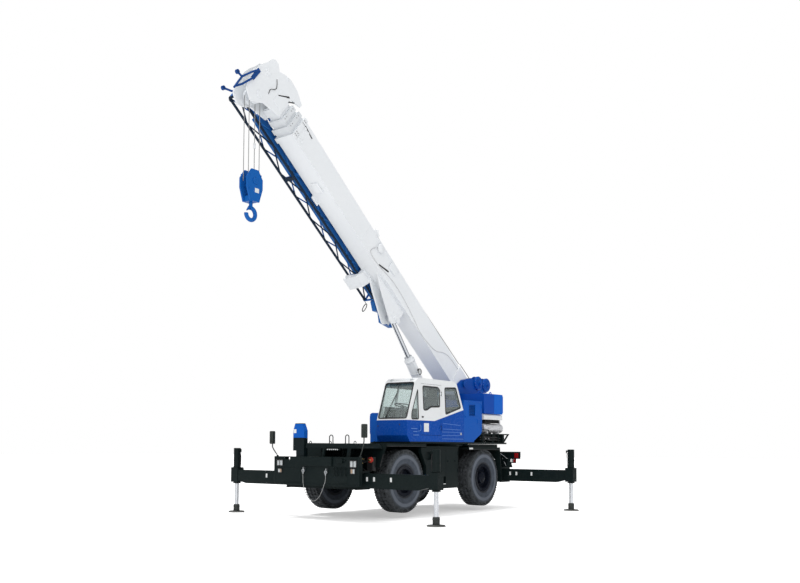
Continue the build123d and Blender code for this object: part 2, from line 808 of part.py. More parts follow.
def upper_frame():
    """Turntable weldment."""
    body = rod_z(slew_x, 0, ring_radius - 20, turntable_bottom, turntable_top - 20)
    low = turntable_top - turntable_plate
    body += block(upper_rear, upper_front, 0, upper_half_width, low, turntable_top)
    body += block(upper_rear, upper_right_front, -upper_half_width, 0, low, turntable_top)
    body += block(upper_right_front - 5, upper_front, nose_right, 5 + nose_right, low, turntable_top)
    body -= block(upper_right_front, upper_front + 1, -5, nose_right, low - 1, turntable_top + 1)
    body += block(lower_frame_rear, lower_frame_front, -plate_inner - plate_thick,
                  plate_inner + plate_thick, lower_frame_bottom, low)
    segment = rod_z(slew_x, 0, sweep_radius, lower_frame_bottom, low)
    segment -= block(lower_frame_step, slew_x + 2000, -2000, 2000, 1000, 2000)
    body += segment
    left = foot_plate()
    body += left
    body += mirrored(left)
    body += rod_y(pivot_x, pivot_z, pivot_radius, -plate_inner - plate_thick - 40,
                  plate_inner + plate_thick + 40)
    body += block(upper_rear, upper_rear + 70, -plate_inner, plate_inner, turntable_top, 3100)
    for side in (1, -1):
        y0, y1 = sorted((side * 150, side * 195))
        body += prism_y([(barrel_pin_x - 300, turntable_top - 5), (barrel_pin_x + 300, turntable_top - 5),
                         (barrel_pin_x + 110, barrel_pin_z + 110), (barrel_pin_x - 110, barrel_pin_z + 110)],
                        y0, y1)
    body += rod_y(barrel_pin_x, barrel_pin_z, barrel_pin_radius, -195, 195)
    for name, x, z in winches:
        for side in (1, -1):
            y0, y1 = sorted((side * (winch_half_length - 60), side * plate_inner))
            body += rod_y(x, z, winch_shaft_radius, y0, y1)
    return body


barrel_pin_radius = 50.0
save("upper_frame", upper_frame())


def left_housing():
    """Housing behind the cab, with its slanted lower corner and a louvre let into its side."""
    inner = plate_inner + plate_thick + 5
    front = cab_rear - 10
    outline = [(front, turntable_top), (-1237, turntable_top), (-1237, housing_bottom), (-1585, 2027),
               (housing_rear, 2108), (housing_rear, housing_top), (front, housing_top)]
    body = prism_y(outline, inner, upper_half_width - 20)
    face = upper_half_width - 20
    body -= block(louvre_rear, louvre_front, face - louvre_depth, face + 1, louvre_bottom, louvre_top)
    count = int((louvre_top - louvre_bottom) / slat_pitch)
    for k in range(count):
        z = louvre_bottom + slat_pitch * (k + 0.5)
        slat = prism_x([(face - louvre_depth - 1, z + 8), (face - 4, z - 10), (face - 4, z - 5),
                        (face - louvre_depth - 1, z + 13)], louvre_rear - 1, louvre_front + 1)
        body += slat
    return body


def nose():
    """Body nose on the cab's right side, rounded over its top and lower corner."""
    outline = [(cab_right - 6, turntable_top), (cab_right - 6, nose_top), (nose_right + 60, nose_top),
               (nose_right + 12, nose_top - 30), (nose_right, nose_top - 90), (nose_right + 3, 2010),
               (nose_right + 51, 1887), (nose_right + 140, turntable_top)]
    return prism_x(outline, 1000, cab_front - 20)


save("upper_housing", left_housing(), nose(),
     block(housing_rear, upper_right_front, -upper_half_width, -plate_inner - plate_thick - 5,
           turntable_top, right_housing_top))

# Engine bay: engine as one plain block, its grille, the hood over it, the silencer and the rack
save("engine", block(engine_rear, engine_front, engine_inner, engine_outer, turntable_top, engine_top))


def engine_grille():
    """Frame with upright bars round the top of the engine."""
    z1 = engine_top + grille_height
    y1 = hood_outer - 30
    body = block(grille_rear, grille_front, engine_inner, y1, engine_top, engine_top + 12)
    body += block(grille_rear, grille_front, engine_inner, y1, z1 - 12, z1)
    body += block(grille_rear + 20, grille_front - 20, engine_inner, y1 - 30, engine_top + 12, z1 - 12)
    count = 18
    pitch = (grille_front - grille_rear - 16) / count
    for k in range(count + 1):
        x = grille_rear + 2 + k * pitch
        body += block(x, x + 10, y1 - 32, y1, engine_top + 10, z1 - 10)
    return body


def engine_hood():
    """Crowned sheet hood that lies on the grille."""
    z0 = engine_top + grille_height
    outline = [(plate_inner + plate_thick + 5, z0), (hood_outer, z0), (hood_outer, z0 + 110),
               (hood_outer - 45, z0 + 150), (plate_inner + plate_thick + 5, z0 + 150)]
    return prism_x(outline, hood_rear, hood_front)


def silencer():
    """Turned silencer along the bay on two saddles, with its tail pipe."""
    profile = [(0, silencer_front), (silencer_radius - 30, silencer_front),
               (silencer_radius, silencer_front - 30), (silencer_radius, silencer_rear + 70),
               (silencer_radius - 30, silencer_rear + 22), (silencer_radius - 70, silencer_rear),
               (0, silencer_rear)]
    face = make_face(Plane.XY * Polyline(*[(x, r) for r, x in profile], close=True))
    body = Pos(0, silencer_y, silencer_z) * revolve(face, Axis.X)
    for x in (silencer_front - 180, silencer_rear + 260):
        body += block(x - 30, x + 30, silencer_y - 90, silencer_y + 90, rack_top, silencer_z - 60)
    body += rod_y(silencer_front - 60, silencer_z, 42, engine_outer, silencer_y)
    return body


save("engine_grille", engine_grille())
save("engine_hood", engine_hood())
save("silencer", silencer())

# Rack beside the engine: tray on posts, its slanted end bar, and the hoses that run through it
rack_hoses = [(1120.0, 1950.0, 26.0), (1040.0, 1890.0, 22.0), (1120.0, 1860.0, 20.0), (960.0, 1945.0, 24.0)]
rack_posts = [-1790.0, -2280.0, -2860.0]


def rear_rack():
    """Tray that carries the silencer, with hoses clamped through its posts."""
    front = housing_rear - 10
    body = block(rack_rear, front, rack_inner, rack_outer, rack_top - 30, rack_top)
    for x in rack_posts:
        body += block(x - 25, x + 25, rack_inner, rack_outer, turntable_top, rack_top - 20)
    body += prism_y([(rack_rear, rack_top - 5), (rack_rear + 45, rack_top - 5),
                     (upper_rear + 30, turntable_top + 10), (upper_rear - 5, turntable_top + 10)],
                    rack_outer - 40, rack_outer)
    for y, z, radius in rack_hoses:
        body += rod_x(y, z, radius, upper_rear + 20, housing_rear - 12)
    return body


save("rear_rack", rear_rack())


def counterweight():
    """Two cheeks joined behind the boom foot plates."""
    inner = plate_inner + plate_thick
    cheek = block(weight_rear, weight_front, inner, weight_half_width, weight_bottom, weight_top)
    picked = [e for e in cheek.edges().filter_by(Axis.Z)
              if e.center().Y > weight_half_width - 1 and e.center().X < weight_rear + 1]
    cheek = fillet(picked, 40)
    return cheek + mirrored(cheek) + block(weight_rear, upper_rear, -inner, inner, weight_bottom, weight_top - 60)


save("counterweight", counterweight())

for name, x, z in winches:
    end = winch_half_length
    drum = turned_y([(winch_shaft_radius + seat_gap, -end), (winch_flange, -end),
                     (winch_flange, -end + 25), (winch_radius, -end + 25),
                     (winch_radius, end - 25), (winch_flange, end - 25),
                     (winch_flange, end), (winch_shaft_radius + seat_gap, end)], x, 0, z)
    save(name, drum)

# Cab: one hollow shell with its windows and door opening cut


def screen_x(z):
    """Station of the raked windscreen's outer face at a height."""
    return cab_front - (z - cab_belt) / (cab_eaves - cab_belt) * (cab_front - cab_eaves_x)


cab_outer = [(1640, turntable_top), (cab_front, 1950), (cab_front, cab_belt), (cab_eaves_x, cab_eaves),
             (cab_eaves_x - 130, cab_roof), (-300, cab_roof), (-370, cab_roof - 60),
             (cab_rear + 20, 2620), (cab_rear, 2500), (cab_rear, turntable_top)]
cab_inner = [(1600, turntable_top + cab_wall), (cab_front - cab_wall, 1970),
             (cab_front - cab_wall, cab_belt), (cab_eaves_x - 40, cab_eaves - 35),
             (cab_eaves_x - 150, cab_roof - cab_wall), (-270, cab_roof - cab_wall),
             (-325, cab_roof - 85), (cab_rear + 70, 2600), (cab_rear + cab_wall, 2490),
             (cab_rear + cab_wall, turntable_top + cab_wall)]
# Windows in the cab's sides as (x, z) outlines
quarter_window = [(1290, 2349), (1577, 2342), (1578, 2485), (1337, cab_roof - 276)]
rear_side_window = [(176, cab_roof - 188), (-326, cab_roof - 161), (-561, 2684), (128, 2495)]
right_window = [(-250, 2640), (1560, 2640), (1420, cab_roof - 200), (-250, cab_roof - 200)]
door_window = [(1129, door_top - 61), (486, door_top - 63), (398, door_top - 120), (396, 2674),
               (770, 2660), (950, 2575), (1084, 2575)]


def side_cut(outline, y):
    """Window opening through a side wall."""
    return prism_y(outline, y - 100, y + 100)


def screen_prism(low, high, out, depth, y0, y1):
    """Slab along the raked windscreen between two heights, from out in front to depth behind its face."""
    return prism_y([(screen_x(low) + out, low), (screen_x(high) + out, high),
                    (screen_x(high) - depth, high), (screen_x(low) - depth, low)], y0, y1)


def cab_shell():
    """Frame, floor and roof of the cab."""
    body = prism_y(cab_outer, cab_right, cab_left)
    body -= prism_y(cab_inner, cab_right + cab_wall, cab_left - cab_wall)
    body -= screen_prism(window_bottom, window_top, 60, 150, cab_right + window_side, cab_left - window_side)
    body -= side_cut(quarter_window, cab_left)
    body -= side_cut(rear_side_window, cab_left)
    body -= side_cut(right_window, cab_right)
    body -= block(door_rear, door_front, cab_left - 100, cab_left + 100, door_bottom, door_top)
    body -= block(cab_rear - 100, -400, cab_right + 100, cab_left - 100, 2700, cab_roof - 200)
    body += prism_y([(912, cab_roof - 197), (947, cab_roof - 197), (1065, 2637), (1030, 2637)],
                    cab_right + 25, cab_right + 45)
    for z in hinge_levels:
        body += rod_z(hinge_x, hinge_y, hinge_pin_radius, z - 60, z + 60)
        for z0, z1 in ((z - 60, z - 26), (z + 26, z + 60)):
            body += rod_z(hinge_x, hinge_y, 2 * hinge_pin_radius, z0, z1)
            body += block(hinge_x - 70, hinge_x, cab_left - 1, cab_left + 12, z0, z1)
    return body


save("cab_shell", cab_shell())


def pane(outline, y):
    """Side pane standing in its opening with a seat gap all round."""
    face = make_face(Plane.XZ.offset(-y) * Polyline(*outline, close=True))
    return extrude(offset(face, -seat_gap, kind=Kind.INTERSECTION), amount=glass_thick, dir=(0, 1, 0))


def cab_glass():
    """Fixed panes, each standing in its opening."""
    g = seat_gap
    screen = screen_prism(window_bottom + g, window_top - g, -glass_inset, glass_inset + glass_thick,
                          cab_right + window_side + g, cab_left - window_side - g)
    quarter = pane(quarter_window, cab_left - glass_inset - glass_thick)
    rear_side = pane(rear_side_window, cab_left - glass_inset - glass_thick)
    right = pane(right_window, cab_right + glass_inset - 7)
    return [screen, quarter, rear_side, right]


save("cab_glass", *cab_glass())


def cab_interior():
    """Seat, console and steering column, each standing on the cab's floor."""
    floor = turntable_top + cab_wall
    seat = block(150, 620, 560, 1020, floor, 2180) + block(100, 660, 540, 1040, 2180, 2300)
    seat += block(60, 180, 540, 1040, 2300, 2950)
    console = block(300, 900, 440, 540, floor, 2350)
    column = rod_z(1480, 800, 55, floor, floor + 40) + bar((1480, 800, floor + 20), (1330, 800, 2640), 42)
    wheel = Plane(origin=(1318, 800, 2690), z_dir=(-0.2, 0, 1)) * Torus(190, 15)
    spokes = Plane(origin=(1318, 800, 2680), z_dir=(-0.2, 0, 1)) * Box(380, 40, 16)
    return [seat, console, column + wheel + spokes + bar((1330, 800, 2600), (1318, 800, 2695), 30)]


save("cab_interior", *cab_interior())


def cab_door():
    """Hinged door with a window opening."""
    g = door_gap
    body = block(door_rear + g, door_front - g, cab_left - door_thick, cab_left, door_bottom + g,
                 door_top - g)
    body -= side_cut(door_window, cab_left)
    for z in hinge_levels:
        body += rod_z(hinge_x, hinge_y, 2 * hinge_pin_radius, z - 25, z + 25)
        body += block(hinge_x, hinge_x + 80, cab_left + 2, cab_left + 12, z - 25, z + 25)
        body += block(door_rear + g, hinge_x + 80, cab_left - 1, cab_left + 3, z - 25, z + 25)
        body -= rod_z(hinge_x, hinge_y, hinge_pin_radius + seat_gap, z - 100, z + 100)
    return body


save("cab_door", cab_door())
save("door_glass", pane(door_window, cab_left - glass_inset - glass_thick))

# Boom sections, drawn level and raised together


def section_size(number):
    """Outer width and height of a section: 0 is the base."""
    return (boom_width - 2 * section_step * number, boom_height - 2 * section_step * number)


def tube(number, s0, s1):
    """Box tube of one boom section, open at its front."""
    width, height = section_size(number)
    outer = block(s0, s1, -width / 2, width / 2, -height / 2, height / 2)
    inner = block(s0 + boom_wall, s1 + 1, -width / 2 + boom_wall, width / 2 - boom_wall,
                  -height / 2 + boom_wall, height / 2 - boom_wall)
    return outer - inner


def collar(number, s1):
    """Stiffening frame round the front end, with the pads that guide the next section."""
    width, height = section_size(number)
    inner_width, inner_height = section_size(number + 1)
    ring = block(s1 - 120, s1, -width / 2 - 22, width / 2 + 22, -height / 2 - 22, height / 2 + 22)
    ring -= block(s1 - 130, s1 + 10, -inner_width / 2 - seat_gap, inner_width / 2 + seat_gap,
                  -inner_height / 2 - seat_gap, inner_height / 2 + seat_gap)
    return ring


def boom_base():
    """Base section with foot lugs, cylinder bracket and jib brackets."""
    half = boom_height / 2
    side_y = boom_width / 2
    body = tube(0, -60, boom_front) + collar(0, boom_front)
    foot = prism_y([(boom_tail, -120), (-60, -half), (420, -half), (420, half), (-60, half),
                    (boom_tail, 160)], -plate_inner + slide_gap, plate_inner - slide_gap)
    foot -= block(-55, 500, -side_y + boom_wall, side_y - boom_wall, -half + boom_wall, half - boom_wall)
    body += foot
    body -= rod_y(0, 0, pivot_radius + seat_gap, -400, 400)
    for side in (1, -1):
        y0, y1 = sorted((side * bracket_inner, side * (bracket_inner + bracket_thick)))
        body += prism_y([(rod_pin_s - 160, -half + 10), (rod_pin_s - 160, -half - 120),
                         (rod_pin_s - 100, rod_pin_n - 110), (rod_pin_s, rod_pin_n - 230),
                         (rod_pin_s + 80, rod_pin_n - 230), (rod_pin_s + 840, -half - 220),
                         (rod_pin_s + 1250, -half + 10)], y0, y1)
    low_chord = jib_chords[2][1] - jib_chord_radius - seat_gap
    for s in jib_seats:
        body += block(s - 60, s + 60, -650, -side_y + 5, -30 + seat_gap, 60)
    body += prism_x([(-side_y + 100, -half + 5), (-side_y, -half + 5), (-side_y - 40, low_chord),
                     (-700, low_chord), (-700, low_chord - 150), (-side_y - 40, low_chord - 90),
                     (-side_y + 100, -half - 110)], jib_tray[0], jib_tray[1])
    return body


save("boom_base", on_boom(boom_base()))


def inner_section(number):
    """Second or third section."""
    s1 = boom_front + section_reach * number
    return tube(number, 750 + 130 * number, s1) + collar(number, s1)


save("boom_second", on_boom(inner_section(1)))
save("boom_third", on_boom(inner_section(2)))

# Outline (s, n) of the head's side plates, from the top section's mouth round the front
head_outline = [(9080, -300), (9550, -490), (9650, -640), (9810, -770), (10040, -670), (10130, -390),
                (head_end, -60), (10110, 140), (10040, 330), (10010, 490), (9940, 560), (9830, 560),
                (9710, 460), (9580, 550), (9400, 630), (9190, 630), (9100, 620), (8820, 500),
                (8820, 420), (9080, 300)]


def boom_top():
    """Top section with its sheave head."""
    start = boom_front + section_reach * 2 + 100
    body = tube(3, 750 + 130 * 3, start + 200)
    width, height = section_size(3)
    inner = width / 2 + head_plate_gap
    outer = inner + head_plate_thick
    for side in (1, -1):
        y0, y1 = sorted((side * inner, side * outer))
        body += prism_y(head_outline, y0, y1)
    body += block(start, start + 180, -outer, outer, -height / 2 - 30, height / 2 + 30)
    body -= block(start - 10, start + 181, -width / 2 + boom_wall, width / 2 - boom_wall,
                  -height / 2 + boom_wall, height / 2 - boom_wall)
    body += rod_y(head_sheave_s, head_sheave_n, 40, -outer, outer)
    body += rod_y(upper_sheave_s, upper_sheave_n - 330, 35, -outer, outer)
    for y in (-sheave_pitch / 2, sheave_pitch / 2):
        body += sheave(head_sheave_s, head_sheave_n, y)
        body += sheave(upper_sheave_s, upper_sheave_n - 330, y)
    body += rod_y(9460, 560, 30, -outer, outer)
    return body


def sheave(s, n, y):
    """Grooved rope sheave with its rim above the rope's groove."""
    rope_line = sheave_radius - rope_radius - seat_gap
    return turned_y([(0, -30), (rope_line + 22, -30), (rope_line + 22, -22), (rope_line, -rope_radius),
                     (rope_line, rope_radius), (rope_line + 22, 22), (rope_line + 22, 30), (0, 30)], s, y, n)


save("boom_top", on_boom(boom_top()))

# Jib folded back along the right side of the boom: lattice with a box stage in it


def jib_lattice():
    """Four chords, end frames and zigzag braces."""
    s0, s1, bays = jib_lattice_span[0], jib_lattice_span[1], 9
    body = None
    pitch = (s1 - s0) / bays
    for y, n in jib_chords:
        chord = rod_x(y, n, jib_chord_radius, s0, s1)
        body = chord if body is None else body + chord
    for first in range(4):
        ya, na = jib_chords[first]
        yb, nb = jib_chords[(first + 1) % 4]
        for k in range(bays):
            a = (s0 + k * pitch, ya, na)
            b = (s0 + (k + 1) * pitch, yb, nb)
            if k % 2:
                a, b = (a[0], yb, nb), (b[0], ya, na)
            body += bar(a, b, 16)
        for s in (s0, s1):
            body += bar((s, ya, na), (s, yb, nb), 26)
    for s in jib_seats:
        body += block(s - 40, s + 40, -640, -325, -430, jib_stage_bottom - seat_gap)
    return body


def jib_stage():
    """Box stage inside the lattice, with the stepped foot at its lower end."""
    body = block(jib_stage_span[0] + 250, jib_stage_span[1], -520, -360, jib_stage_bottom, -100)
    body += prism_y([(jib_stage_span[0], -110), (jib_stage_span[0], -330), (jib_stage_span[0] + 60, -420),
                     (jib_stage_span[0] + 440, -600), (jib_stage_span[0] + 640, -440),
                     (jib_stage_span[0] + 820, -560), (jib_lattice_span[0] - 60, -430),
                     (jib_lattice_span[0] - 60, -110)], -500, -380)
    return body


save("jib", on_boom(jib_lattice()), on_boom(jib_stage()))


def jib_fork():
    """Pair of eyes at the head's front: the left one on a bent arm, the right one on a short foot."""
    face = section_size(3)[0] / 2 + head_plate_gap + head_plate_thick
    radius = fork_wire
    y = face + radius
    left = block(10040, head_end - 10, face, face + 20, -380, -60)
    for a, b in (((10100, -90), (10190, -320)), ((10190, -320), (fork_tip_s - 140, fork_tip_n + 40)),
                 ((fork_tip_s - 140, fork_tip_n + 40), (fork_tip_s, fork_tip_n)),
                 ((fork_tip_s - 140, fork_tip_n + 40), (fork_bar_s, fork_bar_n)),
                 ((fork_bar_s - 10, fork_bar_n + 70), (10180, -760)), ((10180, -760), (10080, -360))):
        left += bar((a[0], y, a[1]), (b[0], y, b[1]), radius)
    for s, n in ((10190, -320), (fork_tip_s - 140, fork_tip_n + 40), (10180, -760)):
        left += Pos(s, y, n) * Sphere(radius)
    left += rod_y(fork_tip_s, fork_tip_n, 48, face, face + 50)
    left -= rod_y(fork_tip_s, fork_tip_n, 24, face - 10, face + 80)
    right = block(9960, 10060, -face - 20, -face, -640, -520)
    right += bar((10020, -y, -600), (fork_tip_s - 180, -y, fork_tip_n - 120), radius)
    right += rod_y(fork_tip_s - 180, fork_tip_n - 120, 48, -face - 50, -face)
    right -= rod_y(fork_tip_s - 180, fork_tip_n - 120, 24, -face - 80, -face + 10)
    return [left, right]


save("jib_fork", *[on_boom(shape) for shape in jib_fork()])

# Elevating cylinder: barrel pinned to the superstructure, rod with its eye under the boom

rod_pin_x, rod_pin_z = boom_point(rod_pin_s, rod_pin_n)
luff_angle = math.degrees(math.atan2(rod_pin_z - barrel_pin_z, rod_pin_x - barrel_pin_x))
luff_length = math.hypot(rod_pin_z - barrel_pin_z, rod_pin_x - barrel_pin_x)


def on_cylinder(shape):
    """Shape drawn level from the barrel's pin, raised to the cylinder's angle."""
    return Pos(barrel_pin_x, 0, barrel_pin_z) * Rot(0, -luff_angle, 0) * shape


def luff_barrel():
    """Barrel with its eye and gland."""
    body = rod_y(0, 0, 110, -100, 100) + rod_x(0, 0, barrel_radius, 60, barrel_length - 70)
    body += rod_x(0, 0, barrel_radius - 22, barrel_length - 75, barrel_length)
    body -= rod_y(0, 0, barrel_pin_radius + seat_gap, -150, 150)
    body -= rod_x(0, 0, luff_rod_radius + seat_gap, luff_bore_bottom, barrel_length + 10)
    return body


def luff_rod():
    """Rod with its eye; the pin itself is left out at the open pivot."""
    body = rod_x(0, 0, luff_rod_radius, luff_rod_inner, luff_length - 40)
    body += rod_y(luff_length, 0, rod_eye_radius, -100, 100)
    body -= rod_y(luff_length, 0, rod_eye_radius - 40, -150, 150)
    return body


save("luff_barrel", on_cylinder(luff_barrel()))
save("luff_rod", on_cylinder(luff_rod()))

# Hook block on four parts of rope


def hook_block():
    """Two cheeks round two sheaves, swivel and hook."""
    axle_z = hook_top_z - 250
    outline = [(-100, hook_top_z), (100, hook_top_z), (hook_half_width, axle_z + 60),
               (hook_half_width, axle_z - 150), (130, axle_z - 440), (-130, axle_z - 440),
               (-hook_half_width, axle_z - 150), (-hook_half_width, axle_z + 60)]
    outline = [(head_x + x, z) for x, z in outline]
    cheek = prism_y(outline, hook_cheek_inner, hook_cheek_inner + hook_cheek_thick)
    body = cheek + mirrored(cheek)
    body += rod_y(head_x, axle_z, 35, -hook_cheek_inner - hook_cheek_thick, hook_cheek_inner + hook_cheek_thick)
    for y in (-sheave_pitch / 2, sheave_pitch / 2):
        body += rod_y(head_x, axle_z, sheave_radius - rope_radius - seat_gap, y - 9, y + 9)
    body += block(head_x - 110, head_x + 110, -hook_cheek_inner - 5, hook_cheek_inner + 5, axle_z - 440,
                  axle_z - 320)
    body += rod_z(head_x, 0, 40, hook_bottom_z + 290, axle_z - 420)
    ring_z = hook_bottom_z + hook_ring_radius + hook_bar_radius
    ring = Pos(head_x, 0, ring_z) * Rot(90, 0, 0) * Torus(hook_ring_radius, hook_bar_radius)
    ring -= block(head_x + 20, head_x + 400, -100, 100, ring_z, ring_z + 400)
    body += ring
    return body


save("hook_block", hook_block())


def rope_falls():
    """Four parts of rope between the head sheaves and the block's sheaves."""
    falls = []
    for y in (-sheave_pitch / 2, sheave_pitch / 2):
        for x in (head_x - sheave_radius, head_x + sheave_radius):
            falls.append(rod_z(x, y, rope_radius, hook_top_z - 250, head_z))
    return falls


save("rope_falls", *rope_falls())
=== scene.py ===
"""Looks of a two-axle rough-terrain crane, built around its packed construction."""
import bmesh
import bpy
import math
from mathutils import Euler, Matrix, Vector


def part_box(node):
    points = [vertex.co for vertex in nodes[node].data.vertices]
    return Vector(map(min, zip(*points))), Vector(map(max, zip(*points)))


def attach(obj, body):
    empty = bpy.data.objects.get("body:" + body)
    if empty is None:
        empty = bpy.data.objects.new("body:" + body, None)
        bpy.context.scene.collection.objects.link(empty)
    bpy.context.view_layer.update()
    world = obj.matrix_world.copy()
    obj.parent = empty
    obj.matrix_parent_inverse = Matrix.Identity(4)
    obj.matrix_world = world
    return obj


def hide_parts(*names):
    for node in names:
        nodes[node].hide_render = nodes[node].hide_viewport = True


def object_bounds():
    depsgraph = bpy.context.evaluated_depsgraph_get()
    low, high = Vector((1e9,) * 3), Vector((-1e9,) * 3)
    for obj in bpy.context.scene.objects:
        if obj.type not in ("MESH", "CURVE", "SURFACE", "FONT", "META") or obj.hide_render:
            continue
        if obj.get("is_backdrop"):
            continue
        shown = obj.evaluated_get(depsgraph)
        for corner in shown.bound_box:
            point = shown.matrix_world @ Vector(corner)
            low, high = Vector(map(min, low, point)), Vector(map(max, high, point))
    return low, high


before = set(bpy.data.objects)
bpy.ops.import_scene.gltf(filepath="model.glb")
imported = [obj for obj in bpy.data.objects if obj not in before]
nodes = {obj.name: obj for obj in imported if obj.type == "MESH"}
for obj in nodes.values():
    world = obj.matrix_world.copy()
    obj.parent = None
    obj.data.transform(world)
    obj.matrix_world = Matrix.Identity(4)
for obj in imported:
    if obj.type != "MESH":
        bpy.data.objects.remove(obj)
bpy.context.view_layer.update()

scene = bpy.context.scene

# Camera
# It stands at a standing person's eye height, front left of the crane, tilted up a little.
# Stations along X are the crane's own, from the middle between its outriggers, plus one shift.
front_axle_station = 1.832
tyre_low, tyre_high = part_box("tyre_fl")
x_shift = (tyre_low.x + tyre_high.x) / 2 - front_axle_station
camera_place = (19.092 + x_shift, 14.109, 1.683)
camera_yaw, camera_pitch, camera_roll = 216.985, 3.007, 0.284
picture_width, picture_height = 800, 583
focal_pixels = 907.475
horizon_row = 398.8

camera_data = bpy.data.cameras.new("camera")
camera_data.sensor_fit = "HORIZONTAL"
camera_data.sensor_width = 36.0
camera_data.lens = focal_pixels * camera_data.sensor_width / picture_width
camera_data.shift_y = (horizon_row - picture_height / 2) / picture_width
camera_data.clip_end = 400.0
camera = bpy.data.objects.new("camera", camera_data)
scene.collection.objects.link(camera)
camera.location = camera_place
yaw, pitch = math.radians(camera_yaw), math.radians(camera_pitch)
forward = Vector((math.cos(yaw) * math.cos(pitch), math.sin(yaw) * math.cos(pitch), math.sin(pitch)))
turn = forward.to_track_quat("-Z", "Y").to_matrix()
roll = Euler((0, 0, math.radians(camera_roll))).to_matrix()
camera.rotation_euler = (turn @ roll).to_euler()
scene.camera = camera

# Floor and light
# A pale studio floor, a white surround, a high soft key and a wide fill from the camera's side.


def put_node(tree, kind, values=(), **settings):
    """A node with some socket values and settings."""
    node = tree.nodes.new(kind)
    for label, value in settings.items():
        setattr(node, label, value)
    for socket, value in dict(values).items():
        node.inputs[socket].default_value = value
    return node


def wire(tree, rows):
    """Links between nodes: each row names an output and the input that it feeds."""
    for first, socket, second, target in rows:
        tree.links.new(first.outputs[socket], second.inputs[target])


white_light = (1, 1, 1, 1)
even_light, glossy_loss, floor_lift, floor_half = 0.60, -0.30, 0.40, 120.0
scene.view_settings.view_transform = "Standard"
world = bpy.data.worlds.new("studio")
scene.world = world
world.use_nodes = True
tree = world.node_tree
tree.nodes.clear()
out = put_node(tree, "ShaderNodeOutputWorld")
soft = put_node(tree, "ShaderNodeBackground", {"Color": white_light})
white = put_node(tree, "ShaderNodeBackground", {"Color": white_light, "Strength": 1.0})
rays = put_node(tree, "ShaderNodeLightPath")
seen = put_node(tree, "ShaderNodeMath", operation="MAXIMUM")
dim = put_node(tree, "ShaderNodeMath", {1: glossy_loss, 2: even_light}, operation="MULTIPLY_ADD")
mix = put_node(tree, "ShaderNodeMixShader")
wire(tree, ((rays, "Is Camera Ray", seen, 0), (rays, "Is Transmission Ray", seen, 1),
            (rays, "Is Glossy Ray", dim, 0), (dim, 0, soft, "Strength"), (seen, 0, mix, 0), (soft, 0, mix, 1),
            (white, 0, mix, 2), (mix, 0, out, "Surface")))

floor_corners = [(x * floor_half, y * floor_half, 0) for x, y in ((-1, -1), (1, -1), (1, 1), (-1, 1))]
floor_mesh = bpy.data.meshes.new("floor")
floor_mesh.from_pydata(floor_corners, [], [(0, 1, 2, 3)])
floor = bpy.data.objects.new("floor", floor_mesh)
scene.collection.objects.link(floor)
floor_paint = bpy.data.materials.new("pale_floor")
floor_paint.use_nodes = True
tree = floor_paint.node_tree
shader = tree.nodes["Principled BSDF"]
for label, value in (("Base Color", (0.88, 0.88, 0.88, 1)), ("Roughness", 0.85),
                     ("Emission Color", white_light)):
    shader.inputs[label].default_value = value
rays = put_node(tree, "ShaderNodeLightPath")
lift = put_node(tree, "ShaderNodeMath", {1: floor_lift}, operation="MULTIPLY")
wire(tree, ((rays, "Is Camera Ray", lift, 0), (lift, 0, shader, "Emission Strength")))
floor_mesh.materials.append(floor_paint)
floor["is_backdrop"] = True

for lamp_name, energy, softness, turns in (("key", 1.7, 14, (10, 4, 0)), ("fill", 1.0, 70, (58, 0, 126))):
    sun_data = bpy.data.lights.new(lamp_name, "SUN")
    sun_data.energy = energy
    sun_data.angle = math.radians(softness)
    sun = bpy.data.objects.new(lamp_name, sun_data)
    scene.collection.objects.link(sun)
    sun.rotation_euler = [math.radians(a) for a in turns]

# Chassis paint
# Satin black enamel sprayed over the welded carrier, dulled by road dust that the wheels throw up.
# The dust lies thickest low down, with small chips where stones hit.


def shader_group(name, inputs, outputs):
    """An effect that several finishes share, with its named sockets."""
    group = bpy.data.node_groups.new(name, "ShaderNodeTree")
    for label, kind, value in inputs:
        socket = group.interface.new_socket(label, in_out="INPUT", socket_type=kind)
        if value is not None:
            socket.default_value = value
    for label, kind in outputs:
        group.interface.new_socket(label, in_out="OUTPUT", socket_type=kind)
    return group, group.nodes.new("NodeGroupInput"), group.nodes.new("NodeGroupOutput")


def noise_at(tree, place, scale, detail=4.0, rough=0.55):
    """Noise over the piece at one scale."""
    node = put_node(tree, "ShaderNodeTexNoise", {"Scale": scale, "Detail": detail, "Roughness": rough})
    tree.links.new(place, node.inputs["Vector"])
    return node.outputs["Fac"]


def sum_up(tree, how, first, second):
    """One arithmetic step between sockets or numbers."""
    node = put_node(tree, "ShaderNodeMath", operation=how)
    for index, value in enumerate((first, second)):
        if isinstance(value, (int, float)):
            node.inputs[index].default_value = value
        else:
            tree.links.new(value, node.inputs[index])
    return node.outputs[0]


def spread(tree, value, low, high, to_low, to_high):
    """A value brought from one range into another and held there."""
    node = put_node(tree, "ShaderNodeMapRange", clamp=True)
    tree.links.new(value, node.inputs["Value"])
    for label, bound in (("From Min", low), ("From Max", high), ("To Min", to_low), ("To Max", to_high)):
        if isinstance(bound, (int, float)):
            node.inputs[label].default_value = bound
        else:
            tree.links.new(bound, node.inputs[label])
    return node.outputs["Result"]


def blend_colours(tree, amount, first, second):
    """Colour between two colours."""
    node = put_node(tree, "ShaderNodeMix", data_type="RGBA")
    tree.links.new(amount, node.inputs["Factor"])
    for index, value in ((6, first), (7, second)):
        if isinstance(value, tuple):
            node.inputs[index].default_value = (*value, 1)
        else:
            tree.links.new(value, node.inputs[index])
    return node.outputs[2]


def apart(tree, place):
    """The three coordinates of a place."""
    split = put_node(tree, "ShaderNodeSeparateXYZ")
    tree.links.new(place, split.inputs[0])
    return [split.outputs[axis] for axis in "XYZ"]


